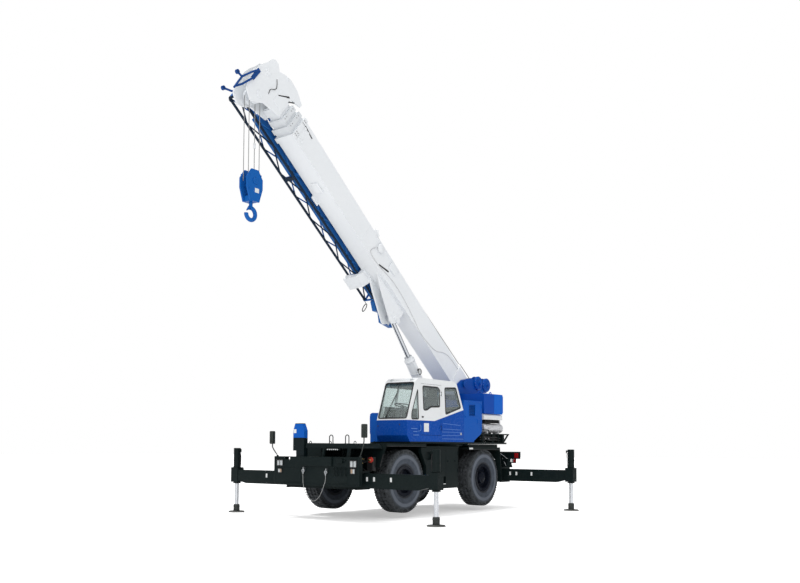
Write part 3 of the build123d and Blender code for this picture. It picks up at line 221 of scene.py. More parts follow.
# Dust thrown up from below, and stone chips in the same low zone
tree, enter, leave = shader_group(
    "thrown_dust",
    [("Place", "NodeSocketVector", None), ("Paint", "NodeSocketColor", (0.02, 0.02, 0.02, 1)),
     ("Dust", "NodeSocketColor", (0.16, 0.15, 0.13, 1)), ("Amount", "NodeSocketFloat", 0.4),
     ("Low", "NodeSocketFloat", 0.2), ("High", "NodeSocketFloat", 1.9), ("Gloss", "NodeSocketFloat", 0.4)],
    [("Color", "NodeSocketColor"), ("Roughness", "NodeSocketFloat")])
dust_height = apart(tree, enter.outputs["Place"])[2]
height = spread(tree, dust_height, enter.outputs["Low"], enter.outputs["High"], 1.0, 0.15)
broad = noise_at(tree, enter.outputs["Place"], 1.4, 6.0, 0.6)
fine = noise_at(tree, enter.outputs["Place"], 24.0, 3.0)
cloud = spread(tree, sum_up(tree, "MULTIPLY", broad, fine), 0.16, 0.40, 0.0, 1.0)
dusty = sum_up(tree, "MULTIPLY", sum_up(tree, "MULTIPLY", cloud, height), enter.outputs["Amount"])
dulled = blend_colours(tree, dusty, enter.outputs["Paint"], enter.outputs["Dust"])
struck = spread(tree, noise_at(tree, enter.outputs["Place"], 70.0, 2.0), 0.72, 0.75, 0.0, 0.10)
chips = sum_up(tree, "MULTIPLY", struck, cloud)
tree.links.new(blend_colours(tree, chips, dulled, (0.30, 0.29, 0.28)), leave.inputs["Color"])
rougher = sum_up(tree, "ADD", enter.outputs["Gloss"], sum_up(tree, "MULTIPLY", dusty, 0.5))
rougher = sum_up(tree, "ADD", rougher, spread(tree, fine, 0.3, 0.7, -0.04, 0.04))
tree.links.new(rougher, leave.inputs["Roughness"])
thrown_dust = tree

# Slight ripple of sprayed enamel
sprayed_ripple, enter, leave = shader_group(
    "sprayed_ripple", [("Place", "NodeSocketVector", None), ("Scale", "NodeSocketFloat", 90.0)],
    [("Height", "NodeSocketFloat")])
ripple = put_node(sprayed_ripple, "ShaderNodeTexNoise", {"Detail": 2.0})
sprayed_ripple.links.new(enter.outputs["Place"], ripple.inputs["Vector"])
sprayed_ripple.links.new(enter.outputs["Scale"], ripple.inputs["Scale"])
sprayed_ripple.links.new(ripple.outputs["Fac"], leave.inputs["Height"])


def start_finish(name):
    """A new material: its tree, its shader and the place on the piece in the crane's own stations."""
    paint = bpy.data.materials.new(name)
    paint.use_nodes = True
    tree = paint.node_tree
    where = put_node(tree, "ShaderNodeTexCoord")
    shift = put_node(tree, "ShaderNodeMapping")
    shift.inputs["Location"].default_value = (-x_shift, 0, 0)
    tree.links.new(where.outputs["Object"], shift.inputs["Vector"])
    return paint, tree, tree.nodes["Principled BSDF"], shift.outputs["Vector"]


def use_group(tree, group, place, values=(), links=()):
    """One shared effect placed in a material."""
    node = put_node(tree, "ShaderNodeGroup", values, node_tree=group)
    tree.links.new(place, node.inputs["Place"])
    for label, socket in links:
        tree.links.new(socket, node.inputs[label])
    return node


def roughen(tree, shader, height, strength, depth):
    """Bump from a height, into the shader's normal."""
    bump = put_node(tree, "ShaderNodeBump", {"Strength": strength, "Distance": depth})
    tree.links.new(height, bump.inputs["Height"])
    tree.links.new(bump.outputs["Normal"], shader.inputs["Normal"])


def enamel(name, colour, gloss, amount, low, high, dust=(0.16, 0.15, 0.13), colour_socket=None, coat=0.0):
    """Sprayed enamel in one colour, or in the colour that a function of the place gives."""
    paint, tree, shader, place = start_finish(name)
    values = [("Dust", (*dust, 1)), ("Amount", amount), ("Low", low), ("High", high), ("Gloss", gloss)]
    if colour is not None:
        values.append(("Paint", (*colour, 1)))
    dirt = use_group(tree, thrown_dust, place, values)
    if colour_socket is not None:
        tree.links.new(colour_socket(tree, place), dirt.inputs["Paint"])
    tree.links.new(dirt.outputs["Color"], shader.inputs["Base Color"])
    tree.links.new(dirt.outputs["Roughness"], shader.inputs["Roughness"])
    shader.inputs["Specular IOR Level"].default_value = 0.10
    shader.inputs["Coat Weight"].default_value = coat * 0.2
    shader.inputs["Coat Roughness"].default_value = 0.12
    ripple = use_group(tree, sprayed_ripple, place, (("Scale", 90.0),))
    roughen(tree, shader, ripple.outputs["Height"], 0.05, 0.001)
    return paint


black_colour = (0.0050, 0.0105, 0.0110)
chassis_black = enamel("chassis_black", black_colour, 0.45, 0.075, 0.3, 2.0, dust=(0.11, 0.12, 0.11))

# Carrier frame
# Welded box frame with an outrigger housing across each end and the slewing ring on top.
# Flange strips stiffen the beam mouths, gussets tie the housings to the frame, bolts hold the ring.


def finish_node(name, *paints):
    """Give a construction node its materials."""
    mesh = nodes[name].data
    mesh.materials.clear()
    for paint in paints:
        mesh.materials.append(paint)


def keep(name, bm, paint, body, place=None):
    """Turn finished mesh work into a piece that rides on a body of the crane."""
    if place is not None:
        bm.transform(place)
    bmesh.ops.translate(bm, verts=bm.verts, vec=(x_shift, 0, 0))
    mesh = bpy.data.meshes.new(name)
    bm.to_mesh(mesh)
    bm.free()
    mesh.materials.append(paint)
    piece = bpy.data.objects.new(name, mesh)
    scene.collection.objects.link(piece)
    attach(piece, body)
    return piece


def plate(bm, x0, x1, y0, y1, z0, z1, edge=0.0, rounds=1):
    """Plate or block between two corners, its edges taken off."""
    made = bmesh.ops.create_cube(bm, size=1.0)["verts"]
    bmesh.ops.scale(bm, vec=(abs(x1 - x0), abs(y1 - y0), abs(z1 - z0)), verts=made)
    bmesh.ops.translate(bm, vec=((x0 + x1) / 2, (y0 + y1) / 2, (z0 + z1) / 2), verts=made)
    if edge:
        edges = list({e for v in made for e in v.link_edges})
        bmesh.ops.bevel(bm, geom=edges, offset=edge, segments=rounds, profile=0.5, affect="EDGES")


def side_plate(bm, side, face, x0, x1, low, high, z0, z1, edge, rounds=1):
    """Plate on a face that looks sideways, from one depth to another."""
    plate(bm, x0, x1, side * (face + low), side * (face + high), z0, z1, edge, rounds)


def cut_plate(bm, outline, across, low, high, edge=0.0):
    """Plate cut to an outline: across X of (y, z) points, Y of (x, z) points or Z of (x, y) points."""
    spots = {"X": lambda a, b, d: (d, a, b), "Y": lambda a, b, d: (a, d, b), "Z": lambda a, b, d: (a, b, d)}
    first = [bm.verts.new(spots[across](a, b, low)) for a, b in outline]
    second = [bm.verts.new(spots[across](a, b, high)) for a, b in outline]
    faces = [bm.faces.new(first), bm.faces.new(second)]
    for k in range(len(outline)):
        j = (k + 1) % len(outline)
        faces.append(bm.faces.new((first[k], first[j], second[j], second[k])))
    bmesh.ops.recalc_face_normals(bm, faces=faces)
    if edge:
        edges = list({e for v in first + second for e in v.link_edges})
        bmesh.ops.bevel(bm, geom=edges, offset=edge, segments=1, profile=0.5, affect="EDGES")


def geometry_tree(name, inputs):
    """Geometry Nodes tree with named inputs and a finish, its input and output nodes."""
    tree = bpy.data.node_groups.new(name, "GeometryNodeTree")
    tree.interface.new_socket("Geometry", in_out="INPUT", socket_type="NodeSocketGeometry")
    tree.interface.new_socket("Geometry", in_out="OUTPUT", socket_type="NodeSocketGeometry")
    for label, kind, value in inputs:
        socket = tree.interface.new_socket(label, in_out="INPUT", socket_type=kind)
        if value is not None:
            socket.default_value = value
    return tree, tree.nodes.new("NodeGroupInput"), tree.nodes.new("NodeGroupOutput")


def coat_all(tree, enter, grown, leave):
    """End of a tree: what has grown becomes plain mesh in the tree's own finish."""
    real = put_node(tree, "GeometryNodeRealizeInstances")
    coated = put_node(tree, "GeometryNodeSetMaterial")
    wire(tree, ((grown, 0, real, 0), (real, 0, coated, 0), (enter, "Finish", coated, "Material"),
                (coated, 0, leave, 0)))


def grow(name, tree, values, start, body, place=None):
    """Run a Geometry Nodes tree on start points and keep the plain mesh that it gives."""
    mesh = bpy.data.meshes.new(name + "_start")
    mesh.from_pydata([tuple(p) for p in start], [], [])
    holder = bpy.data.objects.new(name + "_start", mesh)
    scene.collection.objects.link(holder)
    modifier = holder.modifiers.new("grow", "NODES")
    modifier.node_group = tree
    sockets = {item.name: item.identifier for item in tree.interface.items_tree
               if item.item_type == "SOCKET" and item.in_out == "INPUT"}
    for label, value in values.items():
        modifier[sockets[label]] = value
    bpy.context.view_layer.update()
    grown = bpy.data.meshes.new_from_object(holder.evaluated_get(bpy.context.evaluated_depsgraph_get()))
    holder.modifiers.remove(modifier)
    bpy.data.objects.remove(holder)
    if place is not None:
        grown.transform(place)
    grown.transform(Matrix.Translation((x_shift, 0, 0)))
    grown.name = name
    piece = bpy.data.objects.new(name, grown)
    scene.collection.objects.link(piece)
    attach(piece, body)
    return piece


# A hexagon head on a washer at each point, turned to its face
bolt_row, enter, leave = geometry_tree(
    "bolt_row", [("Turn", "NodeSocketRotation", (0, 0, 0)), ("Head", "NodeSocketFloat", 0.011),
                 ("Rise", "NodeSocketFloat", 0.009), ("Finish", "NodeSocketMaterial", None)])
washer = put_node(bolt_row, "GeometryNodeMeshCylinder", {"Vertices": 12})
grown_washer = put_node(bolt_row, "ShaderNodeMath", {1: 1.35}, operation="MULTIPLY")
thin_washer = put_node(bolt_row, "ShaderNodeMath", {1: 0.4}, operation="MULTIPLY")
hexagon = put_node(bolt_row, "GeometryNodeMeshCylinder", {"Vertices": 6})
tall_head = put_node(bolt_row, "ShaderNodeMath", {1: 2.0}, operation="MULTIPLY")
both = put_node(bolt_row, "GeometryNodeJoinGeometry")
spread_out = put_node(bolt_row, "GeometryNodeInstanceOnPoints")
wire(bolt_row, ((enter, "Head", grown_washer, 0), (grown_washer, 0, washer, "Radius"),
                (enter, "Rise", thin_washer, 0), (thin_washer, 0, washer, "Depth"),
                (enter, "Head", hexagon, "Radius"), (enter, "Rise", tall_head, 0),
                (tall_head, 0, hexagon, "Depth"), (washer, "Mesh", both, 0), (hexagon, "Mesh", both, 0),
                (enter, "Geometry", spread_out, "Points"), (both, 0, spread_out, "Instance"),
                (enter, "Turn", spread_out, "Rotation")))
coat_all(bolt_row, enter, spread_out, leave)


def bolts(name, points, facing, head, paint, body, place=None):
    """Bolt heads at points on a face that looks along X, Y or Z."""
    turns = {"X": (0, math.pi / 2, 0), "Y": (math.pi / 2, 0, 0), "Z": (0, 0, 0)}
    return grow(name, bolt_row, {"Turn": turns[facing], "Head": head, "Rise": head * 0.7, "Finish": paint},
                points, body, place)


finish_node("carrier_frame", chassis_black)
outrigger_station = 3.156
housing_depth = 0.230
housing_end = 1.080
mouth_low, mouth_high = 0.739, 1.081
frame_side = 0.375
frame_low, frame_high = 0.720, 1.440

bm = bmesh.new()
for station in (-outrigger_station, outrigger_station):
    for side in (-1, 1):
        for z0, z1 in ((mouth_low - 0.038, mouth_low - 0.006), (mouth_high + 0.006, mouth_high + 0.040)):
            side_plate(bm, side, housing_end, station - housing_depth - 0.012,
                       station + housing_depth + 0.012, -0.05, 0.006, z0, z1, 0.004)
        for x in (-housing_depth - 0.006, housing_depth - 0.010):
            side_plate(bm, side, housing_end, station + x, station + x + 0.016, -0.05, 0.006,
                       mouth_low - 0.006, mouth_high + 0.006, 0.004)
        for x in (-0.17, 0.17):
            cut_plate(bm, [(side * (frame_side - 0.01), 1.105), (side * 0.97, 1.105), (side * 0.97, 1.125),
                           (side * (frame_side + 0.08), 1.40), (side * (frame_side - 0.01), 1.43)],
                      "X", station + x - 0.007, station + x + 0.007, 0.002)
for side in (-1, 1):
    for z in (frame_low + 0.012, frame_high - 0.012):
        for x0, x1 in ((-2.92, -2.07), (-1.25, 1.42), (2.24, 2.92)):
            side_plate(bm, side, frame_side, x0, x1, -0.01, 0.05, z - 0.008, z + 0.008, 0.003)
keep("frame_stiffeners", bm, chassis_black, "carrier")

face_bolts = []
for station, sign in ((outrigger_station, 1), (-outrigger_station, -1)):
    for y in [0.45 + 0.11 * k for k in range(6)]:
        for z in (mouth_low - 0.018, mouth_high + 0.018):
            for side in (-1, 1):
                face_bolts.append((station + sign * (housing_depth + 0.002), side * y, z))
bolts("housing_bolts", face_bolts, "X", 0.011, chassis_black, "carrier")

# Drive line
# Gearbox bolted under the frame between the axles, with a jointed shaft to each axle's gear case.
# Cast housings in dark enamel, ribbed, with a drain plug; torque rods hold the axles.


def round_bar(bm, start, end, radius, sides=20, edge=0.0, end_radius=None):
    """Round or tapered bar between two points, its end edges taken off."""
    start, end = Vector(start), Vector(end)
    line = end - start
    place = Matrix.Translation((start + end) / 2) @ line.to_track_quat("Z", "Y").to_matrix().to_4x4()
    made = bmesh.ops.create_cone(bm, cap_ends=True, segments=sides, radius1=radius,
                                 radius2=radius if end_radius is None else end_radius,
                                 depth=line.length, matrix=place)["verts"]
    if edge:
        rims = [e for e in {e for v in made for e in v.link_edges} if len(e.link_faces) == 2
                and any(len(f.verts) == sides for f in e.link_faces) and sides > 4]
        bmesh.ops.bevel(bm, geom=rims, offset=edge, segments=1, profile=0.5, affect="EDGES")


def ring_points(x, y, z, radius, count, first=0.0):
    """Points on an upright circle that faces sideways."""
    return [Vector((x + radius * math.cos(a), y, z + radius * math.sin(a)))
            for a in (math.radians(360 / count * k + first) for k in range(count))]


zinc = enamel("zinc_plate", (0.36, 0.37, 0.38), 0.38, 0.5, 0.2, 2.2)
dark_casting = enamel("dark_casting", (0.016, 0.018, 0.020), 0.55, 0.30, 0.2, 1.3, dust=(0.10, 0.10, 0.09))
for name in ("front_axle", "rear_axle", "knuckle_fl", "knuckle_fr", "knuckle_rl", "knuckle_rr"):
    finish_node(name, dark_casting)
rear_axle_station = -1.668
axle_height = 0.8655

bm = bmesh.new()
plate(bm, -0.28, 0.46, -0.22, 0.22, 0.58, 0.735, 0.03, 2)
plate(bm, -0.20, 0.38, -0.16, 0.16, 0.52, 0.60, 0.03, 2)
for k in range(7):
    plate(bm, -0.24 + 0.105 * k, -0.225 + 0.105 * k, -0.235, 0.235, 0.60, 0.72, 0.003)
for x0, x1 in ((0.46, front_axle_station - 0.30), (-0.28, rear_axle_station + 0.30)):
    step = 1 if x1 > x0 else -1
    lower, upper = (x0, 0, 0.66), (x1, 0, axle_height - 0.08)
    line = Vector(upper) - Vector(lower)
    round_bar(bm, lower, Vector(lower) + line * 0.07, 0.075, 24, 0.008)
    round_bar(bm, Vector(lower) + line * 0.16, Vector(lower) + line * 0.84, 0.042, 24, 0.004)
    round_bar(bm, Vector(lower) + line * 0.93, upper, 0.075, 24, 0.008)
    for share in (0.115, 0.885):
        centre = Vector(lower) + line * share
        round_bar(bm, centre - Vector((0, 0.062, 0)), centre + Vector((0, 0.062, 0)), 0.022, 16, 0.003)
        round_bar(bm, centre - Vector((0, 0, 0.062)), centre + Vector((0, 0, 0.062)), 0.022, 16, 0.003)
        for offset in (-0.05, 0.05):
            round_bar(bm, centre + Vector((offset * step, 0, 0)) - Vector((0.012, 0, 0)),
                      centre + Vector((offset * step, 0, 0)) + Vector((0.012, 0, 0)), 0.052, 20, 0.004)
keep("drive_line", bm, dark_casting, "carrier")

bm = bmesh.new()
for x in (front_axle_station, rear_axle_station):
    sign = 1 if x > 0 else -1
    for side in (-1, 1):
        start = Vector((x - sign * 0.08, side * 0.30, axle_height - 0.06))
        end = Vector((x - sign * 0.62, side * 0.34, frame_low + 0.06))
        round_bar(bm, start, end, 0.026, 16, 0.003)
        for spot in (start, end):
            round_bar(bm, spot - Vector((0, 0.045, 0)), spot + Vector((0, 0.045, 0)), 0.048, 20, 0.006)
    for side in (-1, 1):
        round_bar(bm, (x, side * 0.36, axle_height), (x, side * 0.385, axle_height), 0.150, 28, 0.006)
        round_bar(bm, (x - sign * 0.19, side * 0.10, axle_height + 0.06),
                  (x - sign * 0.19, side * 0.48, axle_height + 0.06), 0.036, 20, 0.004)
        round_bar(bm, (x - sign * 0.19, side * 0.48, axle_height + 0.06),
                  (x - sign * 0.19, side * 0.56, axle_height + 0.04), 0.018, 14, 0.003)
keep("axle_rods", bm, dark_casting, "carrier")
cover_bolts = [(p.x, side * 0.387, p.z) for x in (front_axle_station, rear_axle_station)
               for p in ring_points(x, 0, axle_height, 0.13, 12, 15) for side in (-1, 1)]
bolts("axle_cover_bolts", cover_bolts, "Y", 0.009, zinc, "carrier")

# Decks
# Chequer plate laid over the frame: raised lozenges rolled into sheet steel, painted black.
# The front deck carries two hand hoops; lashing eyes are welded near its edges.


def hose(bm, points, radius, sides=8, steps=5, closed=False):
    """Hose, pipe or cable on a smooth line through its points."""
    points = [Vector(p) for p in points]
    count = len(points)
    line = []
    for k in range(count if closed else count - 1):
        p1, p2 = points[k], points[(k + 1) % count]
        p0 = points[k - 1] if closed or k else p1 * 2 - p2
        p3 = points[(k + 2) % count] if closed or k + 2 < count else p2 * 2 - p1
        for j in range(steps):
            t = j / steps
            line.append(0.5 * ((2 * p1) + (p2 - p0) * t + (2 * p0 - 5 * p1 + 4 * p2 - p3) * t * t
                               + (3 * p1 - p0 - 3 * p2 + p3) * t ** 3))
    if not closed:
        line.append(points[-1])
    tube_along(bm, line, radius, sides, closed)


def tube_along(bm, line, radius, sides, closed=False):
    """Tube round a line of close points, with its ends closed."""
    total = len(line)
    rings = []
    side = None
    for k in range(total):
        before = line[k - 1] if closed or k else line[k]
        after = line[(k + 1) % total] if closed or k + 1 < total else line[k]
        ahead = (after - before).normalized()
        if side is None:
            side = ahead.orthogonal().normalized()
        side = (side - ahead * side.dot(ahead)).normalized()
        up = ahead.cross(side)
        rings.append([bm.verts.new(line[k] + radius * (side * math.cos(a) + up * math.sin(a)))
                      for a in (2 * math.pi * i / sides for i in range(sides))])
    for k in range(total if closed else total - 1):
        low, high = rings[k], rings[(k + 1) % total]
        offset = 0
        if closed and k == total - 1:
            offset = min(range(sides), key=lambda o: (high[o].co - low[0].co).length)
        for i in range(sides):
            j = (i + 1) % sides
            bm.faces.new((low[i], low[j], high[(j + offset) % sides],
                          high[(i + offset) % sides])).smooth = True
    if not closed:
        bm.faces.new(list(reversed(rings[0])))
        bm.faces.new(rings[-1])


def turned(bm, profile, centre, axis="Y", steps=32):
    """Shape turned from (radius, across) points about an axis through a centre."""
    rings = []
    for radius, across in profile:
        ring = []
        for k in range(steps if radius > 1e-6 else 1):
            a = 2 * math.pi * k / steps
            u, w = radius * math.cos(a), radius * math.sin(a)
            spot = {"X": (across, u, w), "Y": (u, across, w), "Z": (u, w, across)}[axis]
            ring.append(bm.verts.new(Vector(centre) + Vector(spot)))
        rings.append(ring)
    faces = []
    for low, high in zip(rings, rings[1:]):
        for k in range(steps):
            j = (k + 1) % steps
            corners = [low[k % len(low)], low[j % len(low)], high[j % len(high)], high[k % len(high)]]
            corners = list(dict.fromkeys(corners))
            if len(corners) > 2:
                faces.append(bm.faces.new(corners))
                faces[-1].smooth = True
    bmesh.ops.recalc_face_normals(bm, faces=faces)


lozenges, enter, leave = geometry_tree(
    "lozenges", [("Length", "NodeSocketFloat", 0.030), ("Width", "NodeSocketFloat", 0.008),
                 ("Rise", "NodeSocketFloat", 0.003), ("Finish", "NodeSocketMaterial", None)])
bead = put_node(lozenges, "GeometryNodeMeshCylinder", {"Vertices": 6, "Radius": 0.5, "Depth": 1.0})
bead_size = put_node(lozenges, "ShaderNodeCombineXYZ")
count_up = put_node(lozenges, "GeometryNodeInputIndex")
odd = put_node(lozenges, "ShaderNodeMath", {1: 2.0}, operation="MODULO")
quarter = put_node(lozenges, "ShaderNodeMath", {1: math.pi / 2}, operation="MULTIPLY")
slant = put_node(lozenges, "ShaderNodeMath", {1: math.pi / 4}, operation="ADD")
slant_turn = put_node(lozenges, "ShaderNodeCombineXYZ")
spread_out = put_node(lozenges, "GeometryNodeInstanceOnPoints")
wire(lozenges, ((enter, "Length", bead_size, 0), (enter, "Width", bead_size, 1),
                (enter, "Rise", bead_size, 2), (count_up, 0, odd, 0), (odd, 0, quarter, 0),
                (quarter, 0, slant, 0), (slant, 0, slant_turn, 2), (enter, "Geometry", spread_out, "Points"),
                (bead, "Mesh", spread_out, "Instance"), (slant_turn, 0, spread_out, "Rotation"),
                (bead_size, 0, spread_out, "Scale")))
coat_all(lozenges, enter, spread_out, leave)


def chequer(name, x0, x1, y0, y1, top):
    """Rows of lozenges on a deck, each turned against the next."""
    pitch = 0.045
    points = [(x0 + pitch * (i + 0.5), y0 + pitch * (j + 0.5), top)
              for i in range(int((x1 - x0) / pitch)) for j in range(int((y1 - y0) / pitch))]
    grow(name, lozenges, {"Length": 0.032, "Width": 0.010, "Rise": 0.004, "Finish": chassis_black},
         points, "carrier")


for name in ("carrier_deck", "front_deck"):
    finish_node(name, chassis_black)
deck_level = 1.690
front_deck_level = 1.742
for name, *area in (("front_deck_tread", 2.67, 3.49, -0.36, 1.13, front_deck_level),
                    ("mid_deck_tread_left", 0.40, 1.01, 0.45, 1.29, deck_level),
                    ("mid_deck_tread_right", 0.40, 1.01, -1.29, -0.45, deck_level),
                    ("rear_deck_tread", -2.44, -1.75, -0.42, 0.42, deck_level)):
    chequer(name, *area)

bm = bmesh.new()
for x, y in ((2.72, 1.05), (3.42, 1.05), (2.72, -0.30), (3.42, -0.30)):
    hose(bm, [(x - 0.035, y, front_deck_level), (x - 0.035, y, front_deck_level + 0.03),
              (x, y, front_deck_level + 0.055), (x + 0.035, y, front_deck_level + 0.03),
              (x + 0.035, y, front_deck_level)], 0.008, 8, 4)
plate(bm, 2.655, 3.498, -0.369, -0.357, front_deck_level - 0.06, front_deck_level + 0.012, 0.003)
plate(bm, 3.488, 3.504, -0.37, 1.14, front_deck_level - 0.09, front_deck_level + 0.004, 0.003)
for y in (0.182, 0.288, 0.667, 0.769):
    turned(bm, [(0, 0.006), (0.012, 0.008), (0.026, 0.007), (0.028, 0), (0.028, -0.004)],
           (3.30, y, front_deck_level), "Z", 16)
plate(bm, 3.470, 3.500, 0.24, 0.66, 1.586, 1.648, 0.003)
keep("front_deck_edges", bm, chassis_black, "carrier")
pale_plate = enamel("pale_plate", (0.66, 0.68, 0.68), 0.40, 0.15, 0.4, 2.4, dust=(0.30, 0.30, 0.28))
bm = bmesh.new()
for k in range(6):
    plate(bm, 3.499, 3.503, 0.284 + 0.058 * k, 0.322 + 0.058 * k, 1.597, 1.619, 0.001)
keep("deck_edge_marks", bm, pale_plate, "carrier")

# Front bumper
# Pressed steel beam across the frame, with a box section over the tow points and two lamp pockets.
# Hose bundles run down its face beside the tow plates; a row of bolts closes its lower flange.
finish_node("front_bumper", chassis_black)
bumper_face = 3.600
bumper_low = 0.775
bm = bmesh.new()
plate(bm, bumper_face - 0.01, bumper_face + 0.045, -0.36, 0.545, 1.225, 1.438, 0.012, 2)
plate(bm, bumper_face - 0.01, bumper_face + 0.012, -1.29, 1.29, bumper_low + 0.004, bumper_low + 0.040, 0.004)
plate(bm, bumper_face - 0.01, bumper_face + 0.010, 0.62, 0.98, 0.86, 1.16, 0.006)
plate(bm, bumper_face - 0.01, bumper_face + 0.010, -0.95, -0.42, 0.86, 1.16, 0.006)
for y in (0.60, 0.68, 0.80, 0.92):
    hose(bm, [(bumper_face - 0.01, y, 1.20), (bumper_face + 0.035, y + 0.01, 1.19),
              (bumper_face + 0.045, y + 0.02, 1.12), (bumper_face + 0.035, y + 0.03, 1.04),
              (bumper_face - 0.01, y + 0.035, 1.0)], 0.011, 8, 4)
plate(bm, bumper_face - 0.004, bumper_face + 0.05, 0.70, 0.86, 1.30, 1.40, 0.008)
round_bar(bm, (bumper_face + 0.02, 0.66, 1.36), (bumper_face + 0.02, 0.94, 1.36), 0.012, 12, 0.002)
keep("bumper_box", bm, chassis_black, "carrier")
edge_bolts = [(bumper_face + 0.001, side * (0.44 + 0.105 * k), z) for side in (-1, 1) for k in range(6)
              for z in (0.835, 1.185)]
bolts("bumper_bolts", edge_bolts, "X", 0.010, chassis_black, "carrier")

# Bumper lamps
# A stacked pair at each end: two square lenses over one, ribbed clear glass in black rubber frames.
# The lower lens is half amber for the turn signal.


def waves_at(tree, place, scale, direction, distortion=0.0):
    """Straight bands over the piece at one scale."""
    node = put_node(tree, "ShaderNodeTexWave", {"Scale": scale, "Distortion": distortion}, wave_type="BANDS",
                    bands_direction=direction)
    tree.links.new(place, node.inputs["Vector"])
    return node.outputs["Fac"]


def patterned(name, pattern, colours, rough, second=None, metallic=0.0, bump=None, contrast=None):
    """Finish whose colour follows one pattern; gloss and bump follow the second, where there is one."""
    paint, tree, shader, place = start_finish(name)
    mottle = pattern(tree, place)
    grain = second(tree, place) if second else mottle
    if contrast:
        mottle = spread(tree, mottle, *contrast, 0.0, 1.0)
    tree.links.new(blend_colours(tree, mottle, *colours), shader.inputs["Base Color"])
    if isinstance(rough, tuple):
        tree.links.new(spread(tree, grain, *rough), shader.inputs["Roughness"])
    else:
        shader.inputs["Roughness"].default_value = rough
    shader.inputs["Metallic"].default_value = metallic
    if bump:
        roughen(tree, shader, grain, *bump)
    return paint


def clouds(scale, detail=4.0, rough=0.55):
    """Noise of one scale as a pattern."""
    return lambda tree, place: noise_at(tree, place, scale, detail, rough)


def bands(scale, direction, distortion=0.0):
    """Straight bands of one scale as a pattern."""
    return lambda tree, place: waves_at(tree, place, scale, direction, distortion)


def lens_finish(name, colour):
    """Moulded lens with fine upright ribs over a bright reflector."""
    paint = patterned(name, bands(22.0, "Y"), (tuple(c * 0.55 for c in colour), colour), 0.14,
                      bump=(0.5, 0.003))
    shader = paint.node_tree.nodes["Principled BSDF"]
    shader.inputs["Coat Weight"].default_value = 0.6
    shader.inputs["Coat Roughness"].default_value = 0.04
    return paint


clear_lens = lens_finish("clear_lens", (0.62, 0.66, 0.68))
amber_lens = lens_finish("amber_lens", (0.44, 0.30, 0.20))
red_lens = lens_finish("red_lens", (0.42, 0.010, 0.012))
rubber = patterned("black_rubber", clouds(160.0, 3.0), ((0.010, 0.010, 0.011), (0.028, 0.028, 0.030)),
                   (0.2, 0.8, 0.55, 0.75), bump=(0.3, 0.0015))
finish_node("carrier_lamps", clear_lens)
upper_pockets = [(-1.195, -1.005, 1.218, 1.352), (1.062, 1.252, 1.211, 1.360)]
lower_pockets = [(-1.160, -1.031, 1.053, 1.152), (1.078, 1.210, 1.067, 1.183)]


def rubber_frame(bm, y0, y1, z0, z1, face, width, rise):
    """Frame of four mitred strips round a lens."""
    for a0, a1, b0, b1 in ((y0, y1, z0, z0 + width), (y0, y1, z1 - width, z1), (y0, y0 + width, z0, z1),
                           (y1 - width, y1, z0, z1)):
        plate(bm, face - 0.03, face + rise, a0, a1, b0, b1, 0.003)


bm = bmesh.new()
for y0, y1, z0, z1 in upper_pockets + lower_pockets:
    rubber_frame(bm, y0 - 0.008, y1 + 0.008, z0 - 0.008, z1 + 0.008, bumper_face, 0.018, 0.018)
for y0, y1, z0, z1 in upper_pockets:
    middle = (y0 + y1) / 2
    plate(bm, bumper_face - 0.02, bumper_face + 0.018, middle - 0.009, middle + 0.009, z0, z1, 0.003)
    plate(bm, bumper_face - 0.02, bumper_face + 0.050, y0 - 0.01, y1 + 0.01, z1 + 0.006, z1 + 0.014, 0.003)
keep("lamp_frames", bm, rubber, "carrier")
bm = bmesh.new()
for y0, y1, z0, z1 in lower_pockets:
    low, high = (y0 + 0.012, (y0 + y1) / 2) if y0 > 0 else ((y0 + y1) / 2, y1 - 0.012)
    plate(bm, bumper_face + 0.004, bumper_face + 0.018, low, high, z0 + 0.012, z1 - 0.012, 0.005, 2)
keep("turn_signals", bm, amber_lens, "carrier")

# Fenders and their guards
# Flat sheet tops with a slanted guard; a rolled lip and bolted rubber edge close each one.
finish_node("fenders", chassis_black)
side_face = 1.310
bm = bmesh.new()
for side in (-1, 1):
    for x0, x1, top in ((1.02, 2.60, 1.750), (-2.47, -0.90, 1.670)):
        round_bar(bm, (x0 + 0.01, side * (side_face - 0.006), top - 0.060),
                  (x1 - 0.01, side * (side_face - 0.006), top - 0.060), 0.009, 10)
    for start, end in (((2.60, 1.72), (2.822, 1.215)), ((-2.47, 1.64), (-2.58, 0.765))):
        away = 0.008 if start[0] > 0 else -0.008
        cut_plate(bm, [(start[0] + away, start[1]), (end[0] + away, end[1]), (end[0] - away, end[1]),
                       (start[0] - away, start[1])], "Y", side * (side_face - 0.028),
                       side * side_face, 0.002)
keep("fender_lips", bm, rubber, "carrier")
lip_bolts = [(x0 + 0.08 + 0.16 * k, side * side_face, top - 0.030) for side in (-1, 1)
             for x0, count, top in ((1.02, 10, 1.750), (-2.47, 6, 1.670)) for k in range(count)]
bolts("fender_bolts", lip_bolts, "Y", 0.007, chassis_black, "carrier")

